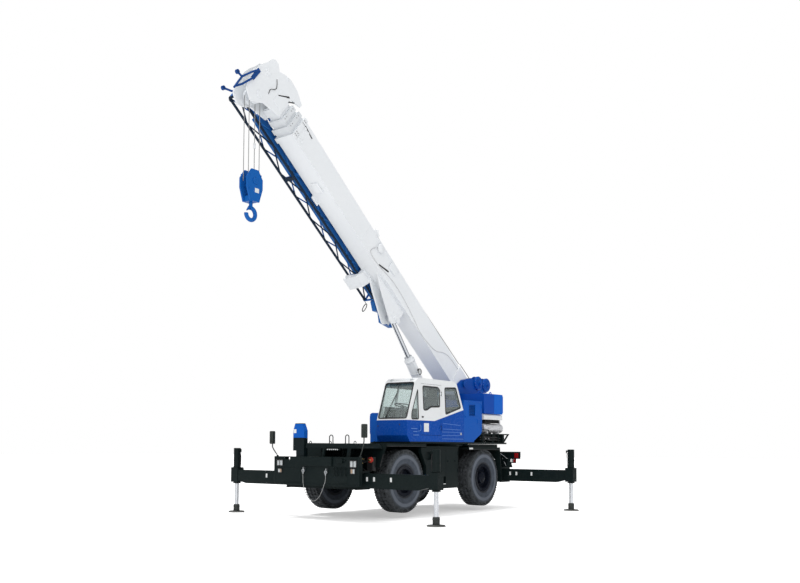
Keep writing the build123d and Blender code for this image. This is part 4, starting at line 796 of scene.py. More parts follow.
# Hose corner behind the bumper
# A red round coupling with a dark centre stands between bumper and fender, its pipe led down;
# brass unions and black hoses run beside it to the brake valve.
red_enamel = enamel("red_enamel", (0.50, 0.045, 0.030), 0.35, 0.25, 0.3, 2.0)
brass = patterned("brass", clouds(60.0, 3.0), ((0.42, 0.30, 0.10), (0.62, 0.48, 0.20)), (0.3, 0.7, 0.3, 0.5),
                  second=clouds(25.0), metallic=1.0)
coupling_place = (2.90, 1.10, 1.372)
bm = bmesh.new()
turned(bm, [(0, 0.070), (0.024, 0.070), (0.028, 0.055), (0.052, 0.050), (0.066, 0.036), (0.070, 0.012),
            (0.060, 0.0), (0.040, -0.06), (0, -0.06)], coupling_place, "X", 28)
keep("red_coupling", bm, red_enamel, "carrier")
bm = bmesh.new()
turned(bm, [(0, 0.078), (0.026, 0.078), (0.032, 0.070), (0.032, 0.050), (0, 0.050)], coupling_place, "X", 24)
keep("coupling_centre", bm, brass, "carrier")
bm = bmesh.new()
hose(bm, [(2.905, 1.13, 1.345), (2.93, 1.165, 1.29), (2.935, 1.17, 1.20), (2.90, 1.12, 1.118)], 0.011, 8)
hose(bm, [(2.86, 0.46, 1.30), (2.88, 0.60, 1.24), (2.90, 0.80, 1.28), (2.89, 1.00, 1.36)], 0.016, 8)
hose(bm, [(2.87, 0.44, 1.22), (2.90, 0.62, 1.16), (2.91, 0.84, 1.17), (2.90, 0.95, 1.12)], 0.014, 8)
hose(bm, [(3.36, 0.42, 1.20), (3.42, 0.55, 1.22), (3.42, 0.72, 1.30), (3.44, 0.84, 1.38)], 0.013, 8)
plate(bm, 2.80, 2.89, 0.96, 1.16, 1.12, 1.44, 0.010)
plate(bm, 2.72, 2.80, 0.435, 0.80, 1.30, 1.42, 0.008)
keep("corner_hoses", bm, rubber, "carrier")
bm = bmesh.new()
for y, z in ((0.80, 1.395), (0.88, 1.395), (0.86, 1.30)):
    round_bar(bm, (2.88, y, z), (2.935, y, z), 0.017, 6, 0.002)
    round_bar(bm, (2.93, y, z), (2.955, y, z), 0.011, 12, 0.002)
keep("brass_unions", bm, brass, "carrier")

# Side boxes
# Folded sheet tool box on the left, fuel tank on the right, hung on the frame between the wheels.
# Doors close on latches; a step with a bright edge is let in low down; the filler has a round cap.


def keep_plate(name, box, edge, paint, body):
    """One thin plate as a piece of its own."""
    bm = bmesh.new()
    plate(bm, *box, edge)
    return keep(name, bm, paint, body)


finish_node("side_boxes", chassis_black)
blank_white = enamel("blank_white", (0.74, 0.76, 0.76), 0.35, 0.30, 0.4, 2.4)
box_face = 1.280
bm = bmesh.new()
bright = bmesh.new()
for side in (-1, 1):
    for x in (-0.31, 0.02):
        side_plate(bm, side, box_face, x - 0.04, x + 0.04, -0.004, 0.012, 1.30, 1.34, 0.004)
        side_plate(bm, side, box_face, x - 0.012, x + 0.03, 0.008, 0.024, 1.308, 1.332, 0.004)
    for z in (1.08, 1.52):
        round_bar(bm, (-0.415, side * (box_face + 0.004), z - 0.04),
                  (-0.415, side * (box_face + 0.004), z + 0.04), 0.009, 12)
    side_plate(bright, side, box_face, 0.150, 0.386, -0.010, 0.014, 0.744, 0.762, 0.003)
    hose(bm, [(0.44, side * (box_face - 0.005), 1.14), (0.44, side * (box_face + 0.022), 1.15),
              (0.44, side * (box_face + 0.024), 1.30), (0.44, side * (box_face + 0.022), 1.50),
              (0.44, side * (box_face - 0.005), 1.51)], 0.010, 8)
    for k in range(4):
        side_plate(bm, side, box_face, 0.14 + 0.062 * k, 0.165 + 0.062 * k, -0.112, -0.004, 0.757, 0.764,
                   0.002)
turned(bm, [(0, -0.032), (0.062, -0.030), (0.070, -0.018), (0.070, 0.0), (0.05, 0.01)],
       (0.60, -box_face, 1.56), "Y", 24)
keep("box_latches", bm, chassis_black, "carrier")
keep("step_edges", bright, blank_white, "carrier")
keep_plate("blank_side_plate", (-1.09, -0.915, side_face - 0.004, side_face + 0.003, 1.618, 1.660), 0.001,
           blank_white, "carrier")
seam_bolts = [(x, side * (box_face + 0.001), z) for side in (-1, 1) for x in (-0.40, 0.47, 0.80)
              for z in (0.70, 0.92, 1.22)]
bolts("box_bolts", seam_bolts, "Y", 0.009, chassis_black, "carrier")

# Wheels
# Deep-dish steel rims painted black, held by ten nuts; radial tyres with heavy shoulder lugs,
# fine ribs round the sidewall and a ring of bead protector, darkened by painted shade beside the rim.
tree, enter, leave = shader_group(
    "rubber_rings",
    [("Place", "NodeSocketVector", None), ("Hub", "NodeSocketFloat", front_axle_station)],
    [("Color", "NodeSocketColor"), ("Roughness", "NodeSocketFloat"), ("Height", "NodeSocketFloat")])
x, y, z = apart(tree, enter.outputs["Place"])
along = sum_up(tree, "SUBTRACT", x, enter.outputs["Hub"])
up = sum_up(tree, "SUBTRACT", z, axle_height)
squares = sum_up(tree, "ADD", sum_up(tree, "MULTIPLY", along, along), sum_up(tree, "MULTIPLY", up, up))
reach = sum_up(tree, "SQRT", squares, 0.0)
ribs = sum_up(tree, "SINE", sum_up(tree, "MULTIPLY", reach, 300.0), 0.0)
rib_zone = sum_up(tree, "MULTIPLY", spread(tree, reach, 0.44, 0.47, 0.0, 1.0),
                  spread(tree, reach, 0.60, 0.63, 1.0, 0.0))
scuffed = noise_at(tree, enter.outputs["Place"], 9.0, 6.0, 0.65)
grit = noise_at(tree, enter.outputs["Place"], 140.0, 2.0)
wall = blend_colours(tree, spread(tree, scuffed, 0.3, 0.7, 0.0, 1.0),
                     (0.034, 0.042, 0.056), (0.072, 0.086, 0.110))
tread = blend_colours(tree, spread(tree, scuffed, 0.35, 0.7, 0.0, 1.0),
                      (0.020, 0.024, 0.026), (0.075, 0.082, 0.090))
outer = spread(tree, reach, 0.600, 0.665, 0.0, 1.0)
ringed = blend_colours(tree, outer, wall, tread)
# Painted shade: darker rubber at the bead, beside the rim.
bead = spread(tree, reach, 0.395, 0.425, 1.0, 0.0)
ringed = blend_colours(tree, bead, ringed, (0.028, 0.031, 0.038))
pale_band = sum_up(tree, "MULTIPLY", spread(tree, reach, 0.520, 0.545, 0.0, 0.7),
                   spread(tree, reach, 0.600, 0.625, 1.0, 0.0))
ringed = blend_colours(tree, pale_band, ringed, (0.150, 0.170, 0.205))
tree.links.new(ringed, leave.inputs["Color"])
tree.links.new(spread(tree, scuffed, 0.2, 0.8, 0.62, 0.85), leave.inputs["Roughness"])
relief = sum_up(tree, "ADD", sum_up(tree, "MULTIPLY", ribs, rib_zone), sum_up(tree, "MULTIPLY", grit, 0.6))
tree.links.new(relief, leave.inputs["Height"])
rubber_rings = tree


def tyre_finish(name, hub_x):
    """Dusty grey-black rubber with its rings centred on one axle."""
    paint, tree, shader, place = start_finish(name)
    rings = use_group(tree, rubber_rings, place, (("Hub", hub_x),))
    tree.links.new(rings.outputs["Color"], shader.inputs["Base Color"])
    tree.links.new(rings.outputs["Roughness"], shader.inputs["Roughness"])
    shader.inputs["Specular IOR Level"].default_value = 0.3
    roughen(tree, shader, rings.outputs["Height"], 0.6, 0.003)
    return paint


tyre_paints = {"f": tyre_finish("front_tyre_rubber", front_axle_station),
               "r": tyre_finish("rear_tyre_rubber", rear_axle_station)}
rim_black = enamel("rim_black", (0.006, 0.008, 0.014), 0.30, 0.05, 0.1, 1.6, dust=(0.10, 0.11, 0.13))

# A ring of blocks round an axle: ribs on the shoulder or blocks of the tread
rib_ring, enter, leave = geometry_tree(
    "rib_ring", [("Count", "NodeSocketInt", 66), ("Radius", "NodeSocketFloat", 0.64),
                 ("Size", "NodeSocketVector", (0.018, 0.012, 0.05)), ("Finish", "NodeSocketMaterial", None)])
circle = put_node(rib_ring, "GeometryNodeMeshCircle")
rib = put_node(rib_ring, "GeometryNodeMeshCube")
place_on = put_node(rib_ring, "GeometryNodeInstanceOnPoints")
normal_of = put_node(rib_ring, "GeometryNodeInputPosition")
aligned = put_node(rib_ring, "FunctionNodeAlignRotationToVector", axis="Z")
lay_round = put_node(rib_ring, "GeometryNodeTransform")
lay_round.inputs["Rotation"].default_value = (math.pi / 2, 0, 0)
wire(rib_ring, ((enter, "Count", circle, "Vertices"), (enter, "Radius", circle, "Radius"),
                (enter, "Size", rib, "Size"), (circle, "Mesh", place_on, "Points"),
                (rib, "Mesh", place_on, "Instance"), (normal_of, 0, aligned, "Vector"),
                (aligned, 0, place_on, "Rotation"), (place_on, 0, lay_round, 0)))
coat_all(rib_ring, enter, lay_round, leave)

four_corners = (("fl", 1, 1), ("fr", 1, -1), ("rl", -1, 1), ("rr", -1, -1))    # name, end and side
wheel_side_y = 1.085
for corner, end, side in four_corners:
    hub_x = front_axle_station if end > 0 else rear_axle_station
    hub_y = side * wheel_side_y
    finish_node("tyre_" + corner, tyre_paints[corner[0]])
    finish_node("rim_" + corner, rim_black)
    body = "wheel_" + corner
    for out_side in (1, -1):
        where = corner + ("_out" if out_side == side else "_in")
        rubber_paint = tyre_paints[corner[0]]
        centre = Matrix.Translation((hub_x, hub_y + out_side * 0.1945, axle_height))
        grow("shoulder_ribs_" + where, rib_ring,
             {"Count": 66, "Radius": 0.655, "Size": (0.020, 0.012, 0.050), "Finish": rubber_paint},
             [(0, 0, 0)], body, centre)
        for row, (across, count) in enumerate(((0.155, 66), (0.060, 44))):
            centre = Matrix.Translation((hub_x, hub_y + out_side * across, axle_height))
            grow("tread_blocks_%s_%d" % (where, row), rib_ring,
                 {"Count": count, "Radius": 0.7235, "Size": (3.2 / count, 0.082, 0.040),
                  "Finish": rubber_paint},
                 [(0, 0, 0)], body, centre)
    nuts = ring_points(hub_x, hub_y + side * 0.068, axle_height, 0.215, 10, 9)
    bolts("wheel_nuts_" + corner, nuts, "Y", 0.019, rim_black, body)
    bm = bmesh.new()
    hub_face = hub_y + side * 0.165
    turned(bm, [(0.112, -0.012 * side), (0.112, 0.006 * side), (0.085, 0.022 * side), (0.05, 0.026 * side),
                (0.048, 0.040 * side), (0, 0.042 * side)], (hub_x, hub_face, axle_height), "Y", 28)
    for spot in ring_points(hub_x, hub_face, axle_height, 0.095, 8):
        round_bar(bm, spot, spot + Vector((0, side * 0.022, 0)), 0.010, 6)
    for spot in ring_points(hub_x, hub_y + side * 0.064, axle_height, 0.262, 10, 27):
        round_bar(bm, spot, spot + Vector((0, side * 0.007, 0)), 0.017, 16, 0.002)
    tube_along(bm, ring_points(hub_x, hub_y + side * 0.163, axle_height, 0.300, 48), 0.009, 8, True)
    hose(bm, [(hub_x + 0.19, hub_y + side * 0.065, axle_height + 0.19),
              (hub_x + 0.20, hub_y + side * 0.12, axle_height + 0.20),
              (hub_x + 0.205, hub_y + side * 0.150, axle_height + 0.205)], 0.007, 8, 3)
    keep("hub_" + corner, bm, rim_black, body)

# Outrigger beams
# Box beams that slide out of their housings and carry a jack in an upright casing at the end.
# White blank strips mark how far each is out; a hose feeds the jack and a hook holds its pin.


def ring_band(bm, inner, outer, low, high, centre, steps=28):
    """Closed flat band round an upright axis."""
    turned(bm, [(inner, low), (outer, low), (outer, high), (inner, high), (inner, low)], centre, "Z", steps)


beam_pitch = 0.095
beam_half_width = 0.085
jack_out = 3.150
casing_top = 1.620
strip_marks = [1.335, 1.535, 2.005]
for corner, end, side in four_corners:
    x = end * outrigger_station + side * beam_pitch
    body = "outrigger_" + corner
    finish_node("beam_" + corner, chassis_black)
    bm = bmesh.new()
    for face in (-1, 1):
        for y in strip_marks:
            x0, x1 = sorted((x + face * (beam_half_width - 0.002), x + face * (beam_half_width + 0.0025)))
            side_plate(bm, side, y, x0, x1, -0.026, 0.026, 0.905, 1.000, 0.001)
    keep("blank_strips_" + corner, bm, blank_white, body)
    bm = bmesh.new()
    cap = [(0.060, 0.005), (0.072, 0.005), (0.080, 0.001), (0.082, -0.01), (0.060, -0.012), (0.060, 0.005)]
    turned(bm, cap, (x, side * jack_out, casing_top), "Z", 28)
    for z in (1.150, 1.330):
        ring_band(bm, 0.086, 0.093, -0.012, 0.012, (x, side * jack_out, z))
    turned(bm, [(0.086, 0.0), (0.096, 0.0), (0.098, 0.004), (0.098, 0.020), (0.086, 0.022), (0.086, 0.0)],
           (x, side * jack_out, 0.732), "Z", 28)
    inward = side * (jack_out - 0.082)
    for drop, y0 in ((0.062, inward), (0.100, inward - side * 0.042)):
        plate(bm, x - 0.020, x + 0.020, y0, inward - side * 0.058, casing_top - drop, casing_top - 0.020,
              0.006)
    for y0, y1 in ((-0.112, -0.092), (0.092, 0.118)):
        plate(bm, x - 0.095, x + 0.095, side * (jack_out + y0), side * (jack_out + y1), 1.126, 1.136, 0.003)
    for z in (0.80, 1.09):
        side_plate(bm, side, jack_out, x - 0.075, x + 0.075, 0.112, 0.124, z - 0.02, z + 0.02, 0.004)
    inner = side * (jack_out - 0.094)
    pale_hose = bmesh.new()
    hose(pale_hose, [(x, inner + side * 0.012, 1.52), (x, inner - side * 0.020, 1.50),
                     (x + 0.004, inner - side * 0.026, 1.36), (x, inner - side * 0.020, 1.22),
                     (x, inner + side * 0.004, 1.128)], 0.010, 8)
    keep("jack_hose_" + corner, pale_hose, pale_plate if corner == "rl" else rubber, body)
    hose(bm, [(x - 0.03, inner + side * 0.012, 1.46), (x - 0.03, inner - side * 0.012, 1.44),
              (x - 0.03, inner - side * 0.012, 1.26), (x - 0.03, inner + side * 0.008, 1.128)], 0.008, 8)
    keep("jack_fittings_" + corner, bm, chassis_black, body)
    end_bolts = [(x + a, side * (jack_out + 0.119), z) for a in (-0.06, 0.06) for z in (0.86, 1.03)]
    bolts("end_bolts_" + corner, end_bolts, "Y", 0.010, chassis_black, body)

# Jacks
# Chromed rods with a dark foot welded on and a round pressed float that stands on the ground.
jack_steel, tree, shader, place = start_finish("jack_steel")
x, y, z = apart(tree, place)
foot_part = spread(tree, z, 0.202, 0.206, 0.0, 1.0)
cast = noise_at(tree, place, 30.0, 5.0)
foot_colour = blend_colours(tree, cast, (0.010, 0.015, 0.014), (0.040, 0.045, 0.042))
rod_colour = blend_colours(tree, noise_at(tree, place, 6.0, 4.0), (0.60, 0.62, 0.66), (0.78, 0.80, 0.83))
float_part = spread(tree, z, 0.026, 0.030, 1.0, 0.0)
foot_colour = blend_colours(tree, float_part, foot_colour, (0.20, 0.20, 0.19))
tree.links.new(blend_colours(tree, foot_part, foot_colour, rod_colour), shader.inputs["Base Color"])
tree.links.new(spread(tree, foot_part, 0.0, 1.0, 0.0, 0.85), shader.inputs["Metallic"])
tree.links.new(spread(tree, foot_part, 0.0, 1.0, 0.6, 0.22), shader.inputs["Roughness"])
roughen(tree, shader, waves_at(tree, place, 55.0, "Z", 1.5), 0.05, 0.0006)
for corner, end, side in four_corners:
    finish_node("jack_" + corner, jack_steel)
    x = end * outrigger_station + side * beam_pitch
    body = "jack_%s_body" % corner
    bm = bmesh.new()
    for k in range(4):
        a = math.radians(90 * k + 45)
        centre = Matrix.Translation((x, side * jack_out, 0)) @ Matrix.Rotation(a, 4, "Z")
        rib_bm = bmesh.new()
        cut_plate(rib_bm, [(0.074, 0.022), (0.165, 0.022), (0.165, 0.028), (0.074, 0.046)], "Y", -0.006,
                  0.006, 0.001)
        rib_bm.transform(centre)
        rib_mesh = bpy.data.meshes.new("rib")
        rib_bm.to_mesh(rib_mesh)
        rib_bm.free()
        bm.from_mesh(rib_mesh)
        bpy.data.meshes.remove(rib_mesh)
    ring_band(bm, 0.076, 0.083, -0.010, 0.010, (x, side * jack_out, 0.150))
    turned(bm, [(0.180, 0.030), (0.188, 0.032), (0.194, 0.028), (0.194, 0.022), (0.180, 0.022)],
           (x, side * jack_out, 0.0), "Z", 36)
    keep("float_ribs_" + corner, bm, jack_steel, body)

# Rear lamps
# A bar across each rear corner on plate stays: red, clear and amber lenses in a black case.
finish_node("rear_lamp_bars", chassis_black)
rear_face = -3.530
bm_by_lens = {"red": bmesh.new(), "clear": bmesh.new(), "amber": bmesh.new()}
bm = bmesh.new()
for side in (-1, 1):
    for face, low, high, bevel in ((rear_face, -0.0009, 0.0141, 0.006),
                                   (rear_face + 0.055, -0.004, 0.004, 0.0035)):
        lenses = (("red", 0.745, 0.900), ("clear", 0.915, 1.010), ("amber", 1.025, 1.170),
                  ("red", 1.185, 1.315))
        for colour, y0, y1 in lenses:
            if face > rear_face and y0 < 1.16:
                continue
            plate(bm_by_lens[colour], face + low, face + high, side * y0, side * y1, 1.375, 1.515, bevel, 2)
    plate(bm, rear_face, rear_face + 0.06, side * 0.695, side * 1.359, 1.540, 1.549, 0.003)
    plate(bm, -3.505, -3.470, side * 1.085, side * 1.235, 1.225, 1.350, 0.008)
    plate(bm_by_lens["red"], -3.512, -3.503, side * 1.100, side * 1.220, 1.240, 1.340, 0.004)
    plate(bm_by_lens["red"], -3.472, -3.462, side * 1.150, side * 1.222, 1.245, 1.340, 0.004)
    plate(bm_by_lens["clear"], -3.472, -3.462, side * 1.098, side * 1.148, 1.245, 1.340, 0.004)
    stay = ((0.70, 1.105), (1.15, 1.105), (1.10, 1.26), (0.98, 1.347), (0.70, 1.347))
    cut_plate(bm, [(side * y, z) for y, z in stay], "X", -3.448, -3.436, 0.003)
keep("lamp_bar_edges", bm, chassis_black, "carrier")
bm = bmesh.new()
for side in (-1, 1):
    round_bar(bm, (-3.47, side * 0.73, 1.50), (-3.45, side * 1.058, 1.286), 0.010, 12)
    round_bar(bm, (-3.47, side * 0.80, 1.36), (-3.40, side * 0.98, 1.12), 0.010, 12)
keep("lamp_bar_struts", bm, zinc, "carrier")
for colour, paint in (("red", red_lens), ("clear", clear_lens), ("amber", amber_lens)):
    keep("rear_lenses_" + colour, bm_by_lens[colour], paint, "carrier")

# Rear cross plate
# Plate over the rear housing with tow eyes, hose couplings and a blank plate.
bm = bmesh.new()
rear_wall = -outrigger_station - housing_depth
for y in (-0.28, 0.28):
    cut_plate(bm, [(rear_wall + 0.02, 1.18), (rear_wall - 0.09, 1.15), (rear_wall - 0.10, 1.05),
                   (rear_wall + 0.02, 1.02)], "Y", y - 0.014, y + 0.014, 0.003)
    hose(bm, [(rear_wall - 0.06, y - 0.03, 1.09), (rear_wall - 0.085, y - 0.045, 1.06),
              (rear_wall - 0.09, y - 0.03, 1.00), (rear_wall - 0.09, y + 0.03, 1.00),
              (rear_wall - 0.085, y + 0.045, 1.06), (rear_wall - 0.06, y + 0.03, 1.09)], 0.012, 8)
plate(bm, rear_wall - 0.012, rear_wall + 0.01, -0.36, 0.36, 1.22, 1.42, 0.006)
for y in [-0.22 + 0.11 * k for k in range(5)]:
    round_bar(bm, (rear_wall, y, 0.90), (rear_wall - 0.035, y, 0.90), 0.020, 6, 0.003)
keep("rear_fittings", bm, chassis_black, "carrier")
keep_plate("bare_number_plate", (rear_wall - 0.018, rear_wall - 0.011, -0.17, 0.17, 1.235, 1.405), 0.002,
           blank_white, "carrier")

# Mirrors
# Rounded heads on bent tube stalks, silvered on the side that looks back to the cab.
moulded_black = patterned("moulded_black", clouds(3.0), ((0.006, 0.012, 0.010), (0.016, 0.024, 0.020)),
                          (0.3, 0.7, 0.40, 0.52), second=clouds(260.0, 2.0), bump=(0.2, 0.0008))
finish_node("mirrors", moulded_black)
silvered = patterned("silvered_glass", clouds(8.0), ((0.78, 0.80, 0.80), (0.86, 0.88, 0.88)),
                     (0.3, 0.7, 0.02, 0.06), metallic=1.0)
mirror_heads = [(1.250, 1.375, 1.872, 2.180), (-1.610, -1.490, 1.730, 2.040)]
bm = bmesh.new()
frames = bmesh.new()
for y0, y1, z0, z1 in mirror_heads:
    plate(bm, 3.374, 3.381, y0 + 0.012, y1 - 0.012, z0 + 0.016, z1 - 0.016, 0.002)
    plate(frames, 3.446, 3.454, y0 + 0.030, y1 - 0.030, z0 + 0.05, z1 - 0.05, 0.004)
    middle = (y0 + y1) / 2
    plate(frames, 3.440, 3.462, middle - 0.018, middle + 0.018, z0 + 0.03, z0 + 0.13, 0.005)
    for z in (z0 + 0.05, z0 + 0.11):
        round_bar(frames, (3.455, middle - 0.028, z), (3.455, middle + 0.028, z), 0.007, 8)
keep("mirror_glass", bm, silvered, "carrier")
keep("mirror_clamps", frames, moulded_black, "carrier")

# Boom rest
# Square post on the bumper that holds the lowered boom: black foot, blue head with a bare white label,
# a hardwood pad on its tapered top.


def masked(axis, line, first, second, blur=0.002):
    """Paint masked off square to an axis: one colour up to the line and another past it."""

    def colours(tree, place):
        edge = spread(tree, apart(tree, place)["XYZ".index(axis)], line - blur, line + blur, 0.0, 1.0)
        return blend_colours(tree, edge, first, second)

    return colours


fresh_blue = (0.003, 0.095, 0.45)
rest_paint = enamel("boom_rest_paint", None, 0.34, 0.05, 0.4, 2.6, dust=(0.05, 0.10, 0.20),
                    colour_socket=masked("Z", 1.870, black_colour, fresh_blue), coat=0.2)
finish_node("boom_rest", rest_paint)
keep_plate("blank_rest_label", (3.533, 3.538, -0.735, -0.645, 1.985, 2.075), 0.001, blank_white,
           "carrier")
bm = bmesh.new()
plate(bm, 3.412, 3.533, -0.688, -0.470, 2.198, 2.214, 0.004)
for z in (1.856, 1.580):
    plate(bm, 3.532, 3.540, -0.742, -0.404, z, z + 0.020, 0.003)
for y, rise in ((-0.40, 0.006), (-0.748, -0.006)):
    round_bar(bm, (3.44, y, 1.70), (3.44, y + rise, 1.70), 0.028, 16)
keep("rest_bands", bm, chassis_black, "carrier")

# Tow points and the tie rope
# Welded lugs with shackles; between them hangs a short wire rope with swaged sockets at its ends.
galvanised, tree, shader, place = start_finish("galvanised")
spangle = put_node(tree, "ShaderNodeTexVoronoi", {"Scale": 90.0})
tree.links.new(place, spangle.inputs["Vector"])
tree.links.new(blend_colours(tree, spangle.outputs["Color"], (0.40, 0.42, 0.44), (0.58, 0.60, 0.62)),
               shader.inputs["Base Color"])
shader.inputs["Metallic"].default_value = 0.9
tree.links.new(spread(tree, noise_at(tree, place, 20.0, 4.0), 0.3, 0.7, 0.32, 0.5),
               shader.inputs["Roughness"])
finish_node("tow_shackles", galvanised)

wire_rope = patterned("wire_rope", bands(38.0, "DIAGONAL", 0.4), ((0.16, 0.16, 0.16), (0.52, 0.53, 0.53)),
                      (0.0, 1.0, 0.55, 0.38), metallic=0.55, bump=(0.7, 0.002))

tow_station = 3.655
rope_route = [(-0.310, 1.045), (-0.310, 0.925), (-0.300, 0.800), (-0.262, 0.680), (-0.205, 0.575),
              (-0.125, 0.485), (-0.025, 0.430), (0.080, 0.440), (0.172, 0.500), (0.245, 0.595),
              (0.300, 0.705), (0.346, 0.815), (0.385, 0.905), (0.385, 1.020)]
rope_data = bpy.data.curves.new("hanging_tie_rope", "CURVE")
rope_data.dimensions = "3D"
rope_data.bevel_depth = 0.007
rope_data.bevel_resolution = 3
rope_data.use_fill_caps = True
strand = rope_data.splines.new("NURBS")
strand.points.add(len(rope_route) - 1)
for point, (y, z) in zip(strand.points, rope_route):
    point.co = (tow_station + x_shift, y, z, 1)
strand.order_u = 3
strand.use_endpoint_u = True
strand.resolution_u = 12
rope_data.materials.append(wire_rope)
tie_rope = bpy.data.objects.new("hanging_tie_rope", rope_data)
scene.collection.objects.link(tie_rope)
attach(tie_rope, "carrier")
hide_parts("tie_rope")

# Superstructure frame
# Welded turntable with two high side plates for the boom foot, black below and blue above the deck.
# Gear covers with bolted rims close the winches' ends.
machine_blue = (0.002, 0.070, 0.36)
upper_paint = enamel("upper_frame_paint", None, 0.36, 0.06, 1.6, 2.6, dust=(0.06, 0.10, 0.16),
                     colour_socket=masked("Z", 1.804, black_colour, machine_blue), coat=0.2)
finish_node("upper_frame", upper_paint)
winch_places = {"main_winch": (-2.850, 3.490), "aux_winch": (-3.285, 3.460)}
foot_plate_out = 0.345
pivot_x, pivot_z = -2.150, 3.420
bm = bmesh.new()
for side in (-1, 1):
    for x, z in winch_places.values():
        face = side * (foot_plate_out + 0.058)
        for spot in ring_points(x, face, z, 0.125, 6):
            round_bar(bm, spot, spot + Vector((0, side * 0.006, 0)), 0.030, 18, 0.002)
        turned(bm, [(0.030, 0.0), (0.060, 0.0), (0.060, side * 0.030), (0.040, side * 0.045),
                    (0, side * 0.045)], (x, side * (foot_plate_out + 0.082), z), "Y", 24)
    round_bar(bm, (pivot_x, side * 0.380, pivot_z), (pivot_x, side * 0.402, pivot_z), 0.095, 28, 0.006)
    plate(bm, pivot_x - 0.035, pivot_x + 0.035, side * 0.398, side * 0.410, pivot_z - 0.035, pivot_z + 0.035,
          0.004)
    plate(bm, 0.20, 0.24, side * foot_plate_out, side * 0.375, 1.80, 2.10, 0.004)
    plate(bm, -0.90, -0.86, side * foot_plate_out, side * 0.385, 1.81, 2.66, 0.004)
keep("boom_foot_caps", bm, upper_paint, "superstructure")
rim_bolts = [p for side in (-1, 1) for x, z in winch_places.values()
             for p in ring_points(x, side * (foot_plate_out + 0.041), z, 0.182, 14)]
bolts("gear_cover_bolts", rim_bolts, "Y", 0.009, zinc, "superstructure")
bm = bmesh.new()
for side in (-1, 1):
    plate(bm, -2.88, 1.60 if side > 0 else -0.02, side * 1.262, side * 1.276, 1.765, 1.803, 0.004)
keep("turntable_edges", bm, chassis_black, "superstructure")

# Guard ring and rear trays
# A rolled guard hangs round the slewing ring; covered hose trays fill the carrier's rear corners.
slew_station = -0.35
bm = bmesh.new()
ring_band(bm, 1.235, 1.250, 1.702, 1.762, (slew_station, 0, 0), 72)
keep("guard_ring", bm, chassis_black, "superstructure")
bm = bmesh.new()
swing_radius, tray_inside, tray_step, tray_rear = 1.390, 0.46, 0.07, -2.464
across = [tray_inside + tray_step * k for k in range(12)]
for side in (-1, 1):
    swept = [(slew_station - math.sqrt(swing_radius * swing_radius - y * y), side * y) for y in across]
    cut_plate(bm, [(tray_rear, side * tray_inside)] + swept + [(tray_rear, side * across[-1])],
              "Z", 1.668, 1.752, 0.006)
cut_plate(bm, [(-2.44, -0.42), (-1.80, -0.42), (-1.80, 0.42), (-2.44, 0.42)], "Z", 1.688, 1.752, 0.006)
keep("hose_trays", bm, chassis_black, "carrier")

# Left housing and nose
# Folded blue sheet over the oil tank behind the cab, its louvre pressed in the side and darkened
# by painted shade in its slots; the nose on the other side closes the body beside the cab.


def plain_blue(tree, place):
    """Blue that varies a little with the batch and the light it has had."""
    return blend_colours(tree, noise_at(tree, place, 0.8, 3.0), (0.001, 0.078, 0.40), (0.003, 0.098, 0.46))


housing_blue = enamel("housing_blue", None, 0.30, 0.05, 1.7, 2.9, dust=(0.05, 0.12, 0.25),
                      colour_socket=plain_blue, coat=0.35)
finish_node("upper_housing", housing_blue)
housing_face = 1.250
bm = bmesh.new()
plate(bm, -1.622, -0.744, housing_face - 0.002, housing_face + 0.012, 2.858, 2.874, 0.003)
for x0, x1, z0, z1 in ((-1.290, -1.282, 2.49, 2.79), (-0.994, -0.986, 2.49, 2.79),
                       (-1.290, -0.986, 2.784, 2.794), (-1.290, -0.986, 2.486, 2.496)):
    plate(bm, x0, x1, housing_face - 0.004, housing_face + 0.008, z0, z1, 0.002)
plate(bm, -1.55, -1.40, housing_face - 0.002, housing_face + 0.010, 2.30, 2.42, 0.004)
for z in (2.20, 2.75):
    round_bar(bm, (-1.60, housing_face + 0.006, z - 0.05), (-1.60, housing_face + 0.006, z + 0.05), 0.010, 12)
plate(bm, -0.83, -0.79, housing_face - 0.002, housing_face + 0.020, 2.44, 2.50, 0.005)
for x in (1.08, 1.38, 1.66):
    plate(bm, x - 0.020, x + 0.020, 0.150, 0.160, 2.494, 2.508, 0.003)
keep("housing_trim", bm, housing_blue, "superstructure")
# Darker blue on the louvre slats, the sheet behind them and the vent fins: painted shade in the slots.
louvre_painted_shade = enamel("louvre_painted_shade", (0.002, 0.050, 0.24), 0.45, 0.06, 1.7, 2.9, dust=(0.05, 0.08, 0.14))
bm = bmesh.new()
for k in range(7):
    z = 2.513 + 0.038 * k
    cut_plate(bm, [(housing_face - 0.026, z + 0.012), (housing_face - 0.002, z - 0.010),
                   (housing_face - 0.002, z - 0.004), (housing_face - 0.026, z + 0.018)], "X", -1.282, -0.994)
plate(bm, -1.284, -0.992, housing_face - 0.0295, housing_face - 0.0265, 2.502, 2.778)
keep("housing_louvre", bm, louvre_painted_shade, "superstructure")

# Right housing
# Long blue locker beside the boom: three doors on hinges with latches, a vent, and a filler cap.
locker_face = -1.270
bm = bmesh.new()
door_edges = [-1.60, -1.08, -0.55, -0.03]
for x0, x1 in zip(door_edges, door_edges[1:]):
    plate(bm, x0 + 0.012, x1 - 0.012, locker_face - 0.012, locker_face + 0.004, 1.86, 2.50, 0.006, 2)
    plate(bm, x1 - 0.10, x1 - 0.05, locker_face - 0.026, locker_face - 0.008, 2.14, 2.22, 0.006)
    for z in (1.98, 2.38):
        round_bar(bm, (x0 + 0.014, locker_face - 0.016, z - 0.045),
                  (x0 + 0.014, locker_face - 0.016, z + 0.045), 0.009, 12)
plate(bm, -1.60, -0.03, locker_face - 0.016, locker_face + 0.05, 2.555, 2.568, 0.004)
turned(bm, [(0, 0.045), (0.050, 0.045), (0.062, 0.032), (0.062, 0.0)], (-1.35, -0.95, 2.560), "Z", 24)
plate(bm, -0.010, 0.010, -1.18, -0.50, 1.95, 2.45, 0.006)
keep("locker_doors", bm, housing_blue, "superstructure")

